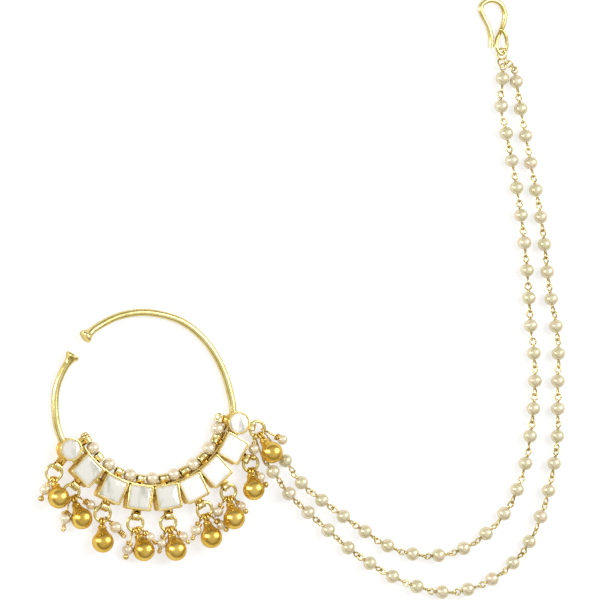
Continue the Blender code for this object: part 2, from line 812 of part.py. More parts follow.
def build_hook_ring(parts, material, root):
    """Builds the small ring that joins the strands to the hook."""
    mesh = ring_mesh("hook_ring", HOOK_RING_WIDTH, HOOK_RING_WIRE, LINK_SIDES)
    ring = add_object("hook_ring", mesh, parts, material, root)
    ring.matrix_local = hook_ring_frame()


def end_loop(name, ring, middle, towards):
    """Returns an end loop square across a ring's wire and the point where its wire begins."""
    frame = frame_along(middle, towards, ring.col[2].to_3d())
    loop = ring_mesh(name, STRAND_LOOP_WIDTH, STRAND_LOOP_WIRE, EYE_SIDES)
    moved(loop, frame @ Matrix.Rotation(math.pi / 2, 4, "X"))
    start = middle + towards.normalized() * ((STRAND_LOOP_WIDTH - STRAND_LOOP_WIRE) / 2)
    return loop, start


def build_strand(name, route, anchor, dip, parts, blanks, material, root):
    """Builds one pearl strand from the hook ring to the ninth jump ring."""
    height = STRAND_PEARL / 2 + FLOOR_GAP
    line = smooth_line([Vector((x * MM, y * MM, height)) for x, y in route])
    length = line_length(line)
    count = round(length / STRAND_PITCH)
    hook_end = hook_ring_seat(anchor.hook_seat)
    jump_end = ring_seat(SETTINGS[-1], anchor.jump_seat)
    low = Vector(dip) * MM
    hook_loop, hook_start = end_loop(
        f"{name}_hook_loop", hook_ring_frame(), hook_end, line[0] - hook_end
    )
    jump_way = Vector((low.x - jump_end.x, low.y - jump_end.y, 0))
    jump_loop, jump_start = end_loop(
        f"{name}_jump_loop", ring_frame(SETTINGS[-1]), jump_end, jump_way
    )
    points = [hook_start]
    widths = [STRAND_WIRE]
    for number in range(count + 1):
        middle, along = walk(line, length * number / count)
        rings, across = bead_rings(middle, along, STRAND_PEARL, STRAND_WIRE)
        points += rings
        widths += across
    points += [low, jump_start]
    widths += [STRAND_WIRE, STRAND_WIRE]
    body = tube_mesh(f"{name}_body", points, widths, 3, blanks)
    mesh = united(name, [body, hook_loop, jump_loop], blanks)
    smooth(mesh)
    add_object(name, mesh, parts, material, root)


def rest_on_origin(root):
    """Moves the jewel so that the origin lies below the middle of its box."""
    bpy.context.view_layer.update()
    graph = bpy.context.evaluated_depsgraph_get()
    corners = []
    for thing in root.children:
        whole = thing.evaluated_get(graph)
        mesh = whole.to_mesh()
        corners += [whole.matrix_world @ vertex.co for vertex in mesh.vertices]
        whole.to_mesh_clear()
    middle_x = (min(c.x for c in corners) + max(c.x for c in corners)) / 2
    middle_y = (min(c.y for c in corners) + max(c.y for c in corners)) / 2
    root.location = (-middle_x, -middle_y, -min(c.z for c in corners))


def main():
    """Builds the whole jewel."""
    clear_scene()
    parts = new_collection("nath_nose_ring", False)
    blanks = new_collection("soldered_blanks", True)
    cutters = new_collection("cutters", True)
    root = bpy.data.objects.new("jewel", None)
    parts.objects.link(root)
    gold = principled("pale_gold", (0.78, 0.6, 0.24), 0.25, 1.0)
    bell_gold = principled("deep_gold", (0.72, 0.46, 0.08), 0.2, 1.0)
    stone = principled("foiled_stone", (0.86, 0.85, 0.82), 0.1, 0.2)
    pearl = principled("cream_pearl", (0.8, 0.7, 0.45), 0.25, 0.0)
    build_hoop_frame(parts, blanks, cutters, gold, root)
    build_stones(parts, stone, root)
    build_jump_rings(parts, gold, root)
    build_hook_ring(parts, gold, root)
    workbench = new_collection("workbench", True)
    build_inner_string(parts, workbench, pearl, root)
    build_bells(parts, workbench, bell_gold, root)
    build_drops(parts, workbench, pearl, root)
    build_hook(parts, workbench, gold, root)
    for name, route, anchor, dip in (
        ("chain_strand_inner", INNER_ROUTE, INNER_ANCHOR, INNER_END_DIP),
        ("chain_strand_outer", OUTER_ROUTE, OUTER_ANCHOR, OUTER_END_DIP),
    ):
        build_strand(name, route, anchor, dip, parts, workbench, pearl, root)
    for thing in list(blanks.objects) + list(cutters.objects):
        thing.hide_render = True
        thing.display_type = "WIRE"
    rest_on_origin(root)


main()
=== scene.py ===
import logging
import math
import random
from collections.abc import Callable
from dataclasses import dataclass
from enum import Enum

import bpy
from mathutils import Matrix, Vector


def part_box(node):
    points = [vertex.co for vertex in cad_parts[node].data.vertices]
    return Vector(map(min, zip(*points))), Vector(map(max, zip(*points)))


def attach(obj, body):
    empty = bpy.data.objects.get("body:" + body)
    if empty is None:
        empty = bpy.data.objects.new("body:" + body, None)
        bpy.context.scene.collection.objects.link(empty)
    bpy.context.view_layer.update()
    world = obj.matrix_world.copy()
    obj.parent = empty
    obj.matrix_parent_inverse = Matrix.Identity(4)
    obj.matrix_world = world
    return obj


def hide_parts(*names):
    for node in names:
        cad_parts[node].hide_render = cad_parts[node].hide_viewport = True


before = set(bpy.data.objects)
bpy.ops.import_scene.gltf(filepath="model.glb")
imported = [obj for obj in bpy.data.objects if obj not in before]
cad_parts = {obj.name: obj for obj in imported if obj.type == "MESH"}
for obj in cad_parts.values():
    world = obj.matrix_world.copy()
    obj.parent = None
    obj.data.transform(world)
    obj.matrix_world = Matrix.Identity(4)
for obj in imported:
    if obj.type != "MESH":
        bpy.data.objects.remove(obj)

LOG = logging.getLogger("nath")
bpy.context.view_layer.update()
MM = 0.001
UP = Vector((0, 0, 1))
TURN = 2 * math.pi
QUARTER = math.pi / 2

# Radius at the closed end of a turned profile
TIP = 0.0001 * MM

# Points closer than this count as one, in metres
WELD = 2e-6

# How far the dressed jewel is let down on the floor, in metres
BED = 0.000015

# Range that most values of a noise lie in
NOISE_RANGE = (0.3, 0.7)

# How edges are rounded over
ROUNDING = {"segments": 4, "profile": 0.5}

# Upward share of a face's normal from which it counts as level
LEVEL = 0.9

Thing = bpy.types.Object
Socket = bpy.types.NodeSocket


# Choices


class Outline(Enum):
    """Outline of a setting and its stone."""

    ROUND = "round"
    SQUARE = "square"


class Foil(Enum):
    """How bright the foil under a stone looks."""

    GREY = "grey"
    WHITE = "white"
    CLEAR = "clear"


class Cap(Enum):
    """What sits on a drop's pearl, below its loop."""

    NONE = "none"
    COIL = "coil"
    FLARED = "flared"


class Tail(Enum):
    """What a drop ends in, below its pearl."""

    NONE = "none"
    BALL = "ball"
    TWO_BALLS = "two balls"
    LOOP = "loop"
    COIL = "coil"
    SIDE_WIRE = "side wire"


# Finishes


def fill_ramp(node: bpy.types.Node, stops: tuple) -> None:
    """Sets the stops of a colour ramp.

    Args:
        node: the ramp.
        stops: pairs of position and RGB colour.
    """
    band = node.color_ramp
    while len(band.elements) < len(stops):
        band.elements.new(0.5)
    for element, (position, colour) in zip(band.elements, stops):
        element.position = position
        element.color = (*colour, 1.0)


class Bench:
    """Lays out the nodes of one material round its Principled shader."""

    def __init__(self, name: str) -> None:
        """Starts a new material with an object-space coordinate node.

        Args:
            name: name of the material.
        """
        self.material = bpy.data.materials.new(name)
        self.material.use_nodes = True
        self.tree = self.material.node_tree
        self.shader = self.tree.nodes["Principled BSDF"]
        self.place = self.tree.nodes.new("ShaderNodeTexCoord").outputs["Object"]

    def noise(self, scale: float, detail: float = 2.0, stretch: tuple = (1, 1, 1)) -> Socket:
        """Adds a noise texture.

        Args:
            scale: how many cells there are in a metre.
            detail: octaves of the noise.
            stretch: factors on the three coordinates.

        Returns:
            The socket with the noise value.
        """
        mapping = self.tree.nodes.new("ShaderNodeMapping")
        mapping.inputs["Scale"].default_value = stretch
        self.tree.links.new(self.place, mapping.inputs["Vector"])
        noise = self.tree.nodes.new("ShaderNodeTexNoise")
        noise.inputs["Scale"].default_value = scale
        noise.inputs["Detail"].default_value = detail
        self.tree.links.new(mapping.outputs["Vector"], noise.inputs["Vector"])
        return noise.outputs["Fac"]

    def ramp(self, value: Socket, stops: tuple) -> Socket:
        """Turns a value into a colour.

        Args:
            value: the socket that drives the ramp.
            stops: pairs of position and RGB colour.

        Returns:
            The colour socket.
        """
        ramp = self.tree.nodes.new("ShaderNodeValToRGB")
        fill_ramp(ramp, stops)
        self.tree.links.new(value, ramp.inputs["Fac"])
        return ramp.outputs["Color"]

    def span(self, value: Socket, low: float, high: float) -> Socket:
        """Maps a noise value from its middle range to a range of numbers.

        Args:
            value: the noise socket.
            low: the number for the noise's low values.
            high: the number for its high values.

        Returns:
            The mapped socket.
        """
        mapped = self.tree.nodes.new("ShaderNodeMapRange")
        bounds = zip(("From Min", "From Max", "To Min", "To Max"), (*NOISE_RANGE, low, high))
        for name, number in bounds:
            mapped.inputs[name].default_value = number
        self.tree.links.new(value, mapped.inputs["Value"])
        return mapped.outputs["Result"]

    def bump(self, value: Socket, depth: float) -> None:
        """Raises the surface by a value.

        Args:
            value: the height socket.
            depth: full height in metres.
        """
        bump = self.tree.nodes.new("ShaderNodeBump")
        bump.inputs["Strength"].default_value = 1.0
        bump.inputs["Distance"].default_value = depth
        self.tree.links.new(value, bump.inputs["Height"])
        self.feed("Normal", bump.outputs["Normal"])

    def feed(self, socket: str, value: Socket) -> None:
        """Links a value into one of the shader's sockets."""
        self.tree.links.new(value, self.shader.inputs[socket])

    def hold(self, **values: float) -> None:
        """Sets constants on the shader's sockets, named with underscores for spaces."""
        for name, value in values.items():
            self.shader.inputs[name.replace("_", " ")].default_value = value


@dataclass(frozen=True)
class GoldFinish:
    """Plated gold: a pale and a deeper tone in soft patches, with fine hand polishing."""

    name: str
    bright: tuple
    deep: tuple
    smooth: float
    rough: float
    dent: float
    slot: str = "pale_gold"
    metal: float = 1.0
    edge: tuple = (0.72, 0.58, 0.36)
    places: tuple = (0.35, 0.62)
    patch_cells: float = 260.0
    polish_cells: float = 900.0
    dent_cells: float = 520.0

    def make(self) -> bpy.types.Material:
        """Builds the material.

        Returns:
            The material.
        """
        bench = Bench(self.name)
        tones = tuple(zip(self.places, (self.deep, self.bright)))
        bench.feed("Base Color", bench.ramp(bench.noise(self.patch_cells), tones))
        bench.feed("Roughness", bench.span(bench.noise(self.polish_cells, 3.0), self.smooth, self.rough))
        bench.bump(bench.noise(self.dent_cells), self.dent)
        bench.hold(Metallic=self.metal, Specular_Tint=(*self.edge, 1.0))
        return bench.material


@dataclass(frozen=True)
class PearlFinish:
    """Imitation pearl: a lustrous cream coat whose tint drifts from bead to bead."""

    name: str
    tints: tuple
    drift_cells: float
    slot: str = "cream_pearl"
    edge: tuple = (0.6, 0.5, 0.33)
    places: tuple = (0.3, 0.45, 0.58, 0.72)
    smooth: float = 0.22
    rough: float = 0.34
    lustre_cells: float = 1400.0
    skin_cells: float = 1100.0
    skin: float = 0.007 * MM

    def make(self) -> bpy.types.Material:
        """Builds the material.

        Returns:
            The material.
        """
        bench = Bench(self.name)
        tones = tuple(zip(self.places, self.tints))
        bench.feed("Base Color", bench.ramp(bench.noise(self.drift_cells, 1.0), tones))
        bench.feed("Roughness", bench.span(bench.noise(self.lustre_cells), self.smooth, self.rough))
        bench.bump(bench.noise(self.skin_cells), self.skin)
        bench.hold(Coat_Weight=0.35, Coat_Roughness=0.1, Coat_IOR=1.35, Metallic=0.45)
        bench.hold(Specular_IOR_Level=0.35, Specular_Tint=(*self.edge, 1.0))
        return bench.material


@dataclass(frozen=True)
class StoneFinish:
    """Clear cut stone over silver foil: pale, glossy, with faint pleats of the foil."""

    name: str
    light: tuple
    shade: tuple
    metal: float
    pleat: float
    slot: str = "foiled_stone"
    places: tuple = (0.34, 0.48)
    smooth: float = 0.05
    rough: float = 0.14
    pleat_cells: float = 620.0
    pleat_stretch: tuple = (1.0, 0.3, 1.0)
    polish_cells: float = 700.0

    def make(self) -> bpy.types.Material:
        """Builds the material.

        Returns:
            The material.
        """
        bench = Bench(self.name)
        pleats = bench.noise(self.pleat_cells, 3.0, self.pleat_stretch)
        bench.feed("Base Color", bench.ramp(pleats, tuple(zip(self.places, (self.shade, self.light)))))
        bench.feed("Roughness", bench.span(bench.noise(self.polish_cells), self.smooth, self.rough))
        bench.bump(pleats, self.pleat)
        bench.hold(Metallic=self.metal, Coat_Weight=0.8, Coat_Roughness=0.03)
        return bench.material


@dataclass(frozen=True)
class PaperFinish:
    """Plain white paper under the jewel."""

    name: str
    colour: tuple
    glow: float
    rough: float = 0.9

    def make(self) -> bpy.types.Material:
        """Builds the material.

        Returns:
            The material.
        """
        bench = Bench(self.name)
        bench.hold(Base_Color=(*self.colour, 1.0), Roughness=self.rough)
        bench.hold(Emission_Color=(1.0, 1.0, 1.0, 1.0), Emission_Strength=self.glow)
        return bench.material


Finish = GoldFinish | PearlFinish | StoneFinish | PaperFinish


class Finishes:
    """All finishes of the jewel, each made into a material at its first use."""

    hoop = GoldFinish("pale_gold_wire", (0.82, 0.71, 0.33), (0.69, 0.57, 0.2), 0.21, 0.31, 0.02 * MM)
    rim = GoldFinish("bright_gold_rim", (0.9, 0.78, 0.42), (0.76, 0.61, 0.24), 0.12, 0.24, 0.012 * MM)
    grip = GoldFinish("pale_gold_grip", (0.86, 0.78, 0.4), (0.72, 0.63, 0.24), 0.12, 0.24, 0.012 * MM)
    # Painted shade: the box walls and tube necks are the rims' gold, coloured darker and browner here
    # because their side faces turn away from the lights.
    wall = GoldFinish(
        "shade_darkened_gold_wall", (0.9, 0.67, 0.22), (0.74, 0.47, 0.1), 0.24, 0.38, 0.02 * MM, metal=0.6
    )
    fine = GoldFinish("fine_gold_wire", (0.8, 0.62, 0.26), (0.56, 0.38, 0.1), 0.16, 0.3, 0.008 * MM)
    link = GoldFinish("pale_link_wire", (0.76, 0.65, 0.33), (0.52, 0.42, 0.16), 0.2, 0.34, 0.008 * MM)
    bell = GoldFinish(
        "satin_gold_bell", (0.82, 0.58, 0.15), (0.7, 0.455, 0.08), 0.24, 0.34, 0.012 * MM, "deep_gold"
    )
    pearl = PearlFinish(
        "cream_pearl_bead",
        ((0.69, 0.63, 0.41), (0.75, 0.67, 0.49), (0.68, 0.64, 0.41), (0.78, 0.655, 0.5)),
        170.0,
    )
    rose_pearl = PearlFinish(
        "rose_pearl_bead",
        ((0.76, 0.66, 0.46), (0.83, 0.73, 0.56), (0.78, 0.7, 0.5), (0.84, 0.71, 0.57)),
        240.0,
    )
    stones = {
        Foil.GREY: StoneFinish(
            "grey_foiled_stone", (0.81, 0.8, 0.74), (0.57, 0.56, 0.48), 0.4, 0.05 * MM
        ),
        Foil.CLEAR: StoneFinish(
            "clear_foiled_stone", (0.93, 0.93, 0.9), (0.5, 0.5, 0.43), 0.2, 0.04 * MM
        ),
        Foil.WHITE: StoneFinish(
            "white_foiled_stone", (0.96, 0.96, 0.95), (0.86, 0.86, 0.84), 0.25, 0.01 * MM
        ),
    }
    paper = PaperFinish("white_paper", (0.38, 0.38, 0.38), 0.64)

    def __init__(self) -> None:
        """Starts with no material made."""
        self.made = {}

    def material(self, finish: Finish) -> bpy.types.Material:
        """Makes the material of a finish, or finds the one made before.

        Args:
            finish: the finish.

        Returns:
            Its material.
        """
        if finish.name not in self.made:
            self.made[finish.name] = finish.make()
        return self.made[finish.name]

    def dress(self, thing: Thing, finish: Finish, nodes: list, smooth: float = 50) -> None:
        """Sets a piece down where the CAD nodes lie, dresses it and ties it to the frame.

        Args:
            thing: the mesh object, in layout coordinates.
            finish: the finish that it gets.
            nodes: CAD nodes that it stands for.
            smooth: edges flatter than this many degrees are shaded smooth.
        """
        placed(thing, Matrix.Translation(SHIFT))
        thing.data.materials.clear()
        thing.data.materials.append(self.material(finish))
        bpy.ops.object.shade_smooth_by_angle(angle=math.radians(smooth))
        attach(thing, "root")
        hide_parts(*nodes)
        LOG.info("%s: %d faces", thing.name, len(thing.data.polygons))


# Tools of the workbench


def clear_choice() -> None:
    """Leaves nothing selected."""
    bpy.ops.object.select_all(action="DESELECT")


def direction(degrees: float) -> Vector:
    """Returns the level unit vector at an angle from +X."""
    angle = math.radians(degrees)
    return Vector((math.cos(angle), math.sin(angle), 0))


def frame_along(origin: Vector, axis: Vector, side: Vector) -> Matrix:
    """Makes the matrix whose Z runs along an axis and whose X leans to one side.

    Args:
        origin: place of the frame.
        axis: direction of its Z.
        side: direction that its X leans to.

    Returns:
        The matrix.
    """
    z_axis = axis.normalized()
    y_axis = z_axis.cross(side).normalized()
    x_axis = y_axis.cross(z_axis)
    turn = Matrix((x_axis, y_axis, z_axis)).transposed()
    return Matrix.Translation(origin) @ turn.to_4x4()


def smooth_line(points: list, samples: int = 12) -> list:
    """Runs a smooth, close-set line through points.

    Args:
        points: the chosen points.
        samples: steps between two of them.

    Returns:
        The points of the line.
    """
    ends = [points[0] * 2 - points[1], *points, points[-1] * 2 - points[-2]]
    line = []
    for a, b, c, d in zip(ends, ends[1:], ends[2:], ends[3:]):
        for step in range(samples):
            t = step / samples
            square = (2 * a - 5 * b + 4 * c - d) * t * t
            cube = (3 * b - a - 3 * c + d) * t * t * t
            line.append(0.5 * (2 * b + (c - a) * t + square + cube))
    line.append(points[-1])
    return line


def line_length(line: list) -> float:
    """Returns the length of a line of points."""
    return sum((b - a).length for a, b in zip(line, line[1:]))


def walk(line: list, distance: float) -> tuple:
    """Finds the point and the direction at a distance along a line.

    Args:
        line: the points of the line.
        distance: how far to go, in metres.

    Returns:
        The point and the unit direction there.
    """
    for a, b in zip(line, line[1:]):
        span = (b - a).length
        if distance <= span or b is line[-1]:
            return a + (b - a) * (distance / span), (b - a).normalized()
        distance -= span
    return line[-1], (line[-1] - line[-2]).normalized()


def weld_all() -> None:
    """Welds doubled points in edit mode, turns the faces outwards and leaves edit mode."""
    bpy.ops.mesh.select_all(action="SELECT")
    bpy.ops.mesh.remove_doubles(threshold=WELD)
    bpy.ops.mesh.normals_make_consistent(inside=False)
    bpy.ops.object.mode_set(mode="OBJECT")


def bent_wire(
    name: str, runs: list, width: float, sides: int = 8, closed: bool = False, widths: list | None = None
) -> Thing:
    """Bends round wire along one or more lines of points.

    Args:
        name: name of the piece.
        runs: one list of points for each length of wire.
        width: diameter of the wire.
        sides: how many sides its section has.
        closed: whether each length closes on itself.
        widths: shares of the width at the points of the first run, or None.

    Returns:
        The wire as a mesh object.
    """
    clear_choice()
    bpy.ops.curve.primitive_bezier_curve_add()
    curve = bpy.context.object.data
    curve.splines.clear()
    curve.dimensions = "3D"
    curve.bevel_depth = width / 2
    curve.bevel_resolution = (sides - 4) // 2
    curve.use_fill_caps = True
    for run in runs:
        spline = curve.splines.new("POLY")
        spline.points.add(len(run) - 1)
        shares = widths or [1.0] * len(run)
        for knot, point, share in zip(spline.points, run, shares):
            knot.co = (*point, 1.0)
            knot.radius = share
        spline.use_cyclic_u = closed
    bpy.ops.object.convert(target="MESH")
    thing = bpy.context.object
    thing.name = name
    bpy.ops.object.mode_set(mode="EDIT")
    weld_all()
    return thing


def turned(name: str, profile: list, sides: int = 32) -> Thing:
    """Spins a profile round Z into a solid of revolution.

    Args:
        name: name of the piece.
        profile: pairs of radius and height, from one end to the other.
        sides: steps of the spin.

    Returns:
        The turned mesh object.
    """
    clear_choice()
    bpy.ops.mesh.primitive_plane_add(size=MM)
    thing = bpy.context.object
    thing.name = name
    bpy.ops.object.mode_set(mode="EDIT")
    bpy.ops.mesh.select_mode(type="VERT")
    bpy.ops.mesh.select_all(action="SELECT")
    bpy.ops.mesh.merge(type="CENTER")
    bpy.ops.transform.translate(value=(profile[0][0], 0, profile[0][1]))
    for (near, low), (far, high) in zip(profile, profile[1:]):
        bpy.ops.mesh.extrude_region_move(TRANSFORM_OT_translate={"value": (far - near, 0, high - low)})
    bpy.ops.mesh.select_all(action="SELECT")
    bpy.ops.mesh.spin(steps=sides, angle=TURN, center=(0, 0, 0), axis=(0, 0, 1))
    weld_all()
    return thing


def choose(thing: Thing, kind: str, test: Callable) -> None:
    """Selects the edges or faces in edit mode that pass a test of place and normal.

    Args:
        thing: the object in edit mode.
        kind: EDGE or FACE.
        test: a function of an element's middle and its normal, which is None for an edge.
    """
    bpy.ops.mesh.select_mode(type=kind)
    bpy.ops.object.mode_set(mode="OBJECT")
    mesh = thing.data
    if kind == "FACE":
        for face in mesh.polygons:
            face.select = test(face.center, face.normal)
    else:
        for edge in mesh.edges:
            ends = [mesh.vertices[i].co for i in edge.vertices]
            edge.select = test((ends[0] + ends[1]) / 2, None)
            for i in edge.vertices:
                mesh.vertices[i].select = mesh.vertices[i].select or edge.select
    bpy.ops.object.mode_set(mode="EDIT")


def placed(thing: Thing, matrix: Matrix) -> Thing:
    """Puts a piece in place and applies the place to its mesh.

    Args:
        thing: the piece.
        matrix: its place.

    Returns:
        The same piece.
    """
    clear_choice()
    thing.matrix_world = matrix
    thing.select_set(True)
    bpy.context.view_layer.objects.active = thing
    bpy.ops.object.transform_apply(location=True, rotation=True, scale=True)
    return thing


def twin_of(model: Thing) -> Thing:
    """Copies a piece with a mesh of its own.

    Args:
        model: the piece to copy.

    Returns:
        The copy.
    """
    twin = model.copy()
    twin.data = model.data.copy()
    bpy.context.collection.objects.link(twin)
    return twin


def copies(model: Thing, places: list) -> list:
    """Copies a model to each place and removes the model.

    Args:
        model: the piece to copy.
        places: one matrix for each copy.

    Returns:
        The copies.
    """
    made = [placed(twin_of(model), place) for place in places]
    bpy.data.objects.remove(model)
    return made


def joined(name: str, things: list) -> Thing:
    """Joins meshes into one piece.

    Args:
        name: name of the joined piece.
        things: the mesh objects.

    Returns:
        The joined object.
    """
    clear_choice()
    for thing in things:
        thing.select_set(True)
    bpy.context.view_layer.objects.active = things[0]
    if len(things) > 1:
        bpy.ops.object.join()
    things[0].name = name
    return things[0]


def circle_points(radius: float, steps: int, sweep: float = TURN, start: float = 0.0) -> list:
    """Sets points on a circle in the XZ plane.

    Args:
        radius: radius of the circle.
        steps: how many steps there are.
        sweep: angle from the first point to the last.
        start: angle of the first point.

    Returns:
        The points.
    """
    points = []
    for i in range(steps + 1):
        angle = start + sweep * i / steps
        points.append(Vector((radius * math.cos(angle), 0, radius * math.sin(angle))))
    return points


def coil_points(radius: float, low: float, high: float, turns: float, steps: int = 12) -> list:
    """Sets points on a helix round Z.

    Args:
        radius: radius of the coil's middle line.
        low: height where it starts.
        high: height where it ends.
        turns: how many turns it makes.
        steps: points in a turn.

    Returns:
        The points.
    """
    count = max(2, round(turns * steps))
    points = []
    for i in range(count + 1):
        angle = TURN * turns * i / count
        height = low + (high - low) * i / count
        points.append(Vector((radius * math.cos(angle), radius * math.sin(angle), height)))
    return points


def through(matrix: Matrix, points: list) -> list:
    """Returns points carried by a matrix."""
    return [matrix @ point for point in points]


def open_ring(name: str, place: Matrix, radius: float, wire: float, cut: tuple, detail: tuple) -> Thing:
    """Bends an open ring of wire that lies in the XY plane of a frame.

    Args:
        name: name of the ring.
        place: its frame.
        radius: radius of its middle line.
        wire: diameter of its wire.
        cut: the share of the circle that the wire goes round, and the angle where it starts.
        detail: steps round the ring, and sides of the wire.

    Returns:
        The ring.
    """
    flat = Matrix.Rotation(QUARTER, 4, "X")
    points = circle_points(radius, detail[0], TURN * cut[0], cut[1])
    return bent_wire(name, [through(place @ flat, points)], wire, detail[1])


# Layout that the CAD nodes follow


@dataclass(frozen=True)
class Setting:
    """One stone setting: its place on the arc, its tubes, its jump ring's swing, its stone."""

    angle: float
    share: float
    outline: Outline
    inner: float
    outer: float
    turn: float
    swing: float
    foil: Foil
    crease: tuple = (0, 0)


@dataclass(frozen=True)
class Layout:
    """Places and sizes that several sub-assemblies share, in metres and degrees."""

    setting_radius: float = 22.2 * MM
    square_side: float = 5.6 * MM
    round_width: float = 5.0 * MM
    setting_height: float = 3.7 * MM
    floor_gap: float = 0.02 * MM
    inner_tube_reach: float = 4.3 * MM
    outer_tube_reach: float = 4.35 * MM
    inner_tube_length: float = 1.6 * MM
    outer_tube_length: float = 1.25 * MM
    jump_ring_width: float = 4.2 * MM
    jump_ring_wire: float = 0.6 * MM
    jump_ring_drop: float = 0.6 * MM
    jump_ring_inset: float = 0.12 * MM
    hang_offset: float = 0.08 * MM
    corner: float = 0.55 * MM
    round_sides: int = 40
    settings: tuple = (
        Setting(209.3, 1.014, Outline.ROUND, 1.11, 1.08, 24, 10, Foil.GREY, (-0.1, 0.35)),
        Setting(225.5, 1.0, Outline.SQUARE, 1.0, 1.0, 6, 10, Foil.GREY, (0.3, 0.2)),
        Setting(244.6, 1.0, Outline.SQUARE, 1.0, 1.0, 3, 10, Foil.GREY, (0.1, 0.3)),
        Setting(262.1, 1.0, Outline.SQUARE, 1.0, 1.0, 0, 7, Foil.GREY, (0.2, -0.2)),
        Setting(279.7, 1.0, Outline.SQUARE, 1.0, 1.0, -2, -10, Foil.GREY, (-0.2, 0.15)),
        Setting(296.4, 1.0, Outline.SQUARE, 1.0, 1.0, 3, 10, Foil.WHITE),
        Setting(313.4, 1.0, Outline.SQUARE, 1.0, 1.0, -4, -10, Foil.WHITE),
        Setting(330.6, 1.0, Outline.SQUARE, 1.0, 1.0, -4, -10, Foil.WHITE),
        Setting(346.3, 0.964, Outline.ROUND, 1.04, 0.82, 0, -8, Foil.CLEAR, (0.1, -0.1)),
    )

    def width(self, setting: Setting) -> float:
        """Returns the width of a setting across its top."""
        return self.square_side if setting.outline is Outline.SQUARE else self.round_width

    def place(self, setting: Setting) -> Vector:
        """Returns the foot of a setting's middle."""
        return direction(setting.angle) * self.setting_radius * setting.share

    def setting_frame(self, setting: Setting) -> Matrix:
        """Returns the matrix of a setting: X points outwards along the radial line."""
        turn = Matrix.Rotation(math.radians(setting.angle), 4, "Z")
        return Matrix.Translation(self.place(setting) + UP * self.floor_gap) @ turn

    def inner_tube(self, setting: Setting) -> Vector:
        """Returns the middle of a setting's inner tube."""
        reach = direction(setting.angle) * self.inner_tube_reach * setting.inner
        return self.place(setting) - reach + UP * (self.setting_height / 2)

    def outer_tube(self, setting: Setting) -> Vector:
        """Returns the middle of a setting's outer tube."""
        reach = direction(setting.angle + setting.turn) * self.outer_tube_reach * setting.outer
        return self.place(setting) + reach + UP * (self.setting_height / 2)

    def ring_radius(self) -> float:
        """Returns the radius of a jump ring's middle line."""
        return (self.jump_ring_width - self.jump_ring_wire) / 2

    def ring_frame(self, setting: Setting) -> Matrix:
        """Finds the frame of a jump ring: X points to its far side, Z out of its plane.

        Args:
            setting: the setting of the ring.

        Returns:
            The matrix.
        """
        radius = self.ring_radius()
        slope = math.asin(self.jump_ring_drop / (2 * radius))
        outward = direction(setting.angle + setting.turn + setting.swing)
        x_axis = outward * math.cos(slope) - UP * math.sin(slope)
        y_axis = UP.cross(outward)
        turn = Matrix((x_axis, y_axis, x_axis.cross(y_axis))).transposed()
        middle = self.outer_tube(setting) + x_axis * (radius - self.jump_ring_inset)
        return Matrix.Translation(middle) @ turn.to_4x4()

    def ring_seat(self, setting: Setting, degrees: float) -> Vector:
        """Finds the point on a jump ring's wire towards a level bearing.

        Args:
            setting: the setting of the ring.
            degrees: the bearing.

        Returns:
            The point.
        """
        swing = degrees - setting.angle - setting.turn - setting.swing
        level = direction(swing) * self.ring_radius()
        return self.ring_frame(setting) @ level

    def hang_frame(self, setting: Setting, seat: float, bearing: float, low: float, reach: float) -> Matrix:
        """Finds the frame of a piece that hangs on a jump ring.

        Args:
            setting: the setting of its jump ring.
            seat: place on the ring in degrees.
            bearing: level direction in which the piece lies, in degrees.
            low: height of the piece's ball or pearl.
            reach: distance from its loop to that ball or pearl.

        Returns:
            The matrix, whose Z runs down the piece.
        """
        wire = self.ring_seat(setting, seat)
        level = math.sqrt(reach**2 - (wire.z - low) ** 2)
        axis = direction(bearing) * level + UP * (low - wire.z)
        return frame_along(wire + axis.normalized() * self.hang_offset, axis, UP)

    def blank(self, name: str, setting: Setting, width: float, height: float) -> Thing:
        """Adds an upright block or disc of a setting's outline that stands on z = 0.

        Args:
            name: name of the piece.
            setting: the setting that it is for.
            width: width across its flats.
            height: its height.

        Returns:
            The block, in edit mode with nothing selected.
        """
        square = setting.outline is Outline.SQUARE
        middle = UP * (height / 2)
        clear_choice()
        if square:
            bpy.ops.mesh.primitive_cube_add(size=1, location=middle, scale=(width, width, height))
        else:
            bpy.ops.mesh.primitive_cylinder_add(
                vertices=self.round_sides, radius=width / 2, depth=height, location=middle
            )
        thing = bpy.context.object
        thing.name = name
        bpy.ops.object.transform_apply(location=True, rotation=True, scale=True)
        bpy.ops.object.mode_set(mode="EDIT")
        bpy.ops.mesh.select_all(action="DESELECT")
        if square:
            choose(thing, "EDGE", lambda place, normal: abs(place.z - middle.z) < WELD)
            bpy.ops.mesh.bevel(offset=self.corner, **ROUNDING)
            bpy.ops.mesh.select_all(action="DESELECT")
        return thing


LAYOUT = Layout()


def rest_shift() -> Vector:
    """Measures how far the layout moves to lie where the CAD nodes lie.

    Returns:
        The move.
    """
    low, high = (Vector(corner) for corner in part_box("stone_5"))
    middle = (low + high) / 2
    planned = LAYOUT.place(LAYOUT.settings[4])
    return Vector((middle.x - planned.x, middle.y - planned.y, -BED))


SHIFT = rest_shift()


# Hoop


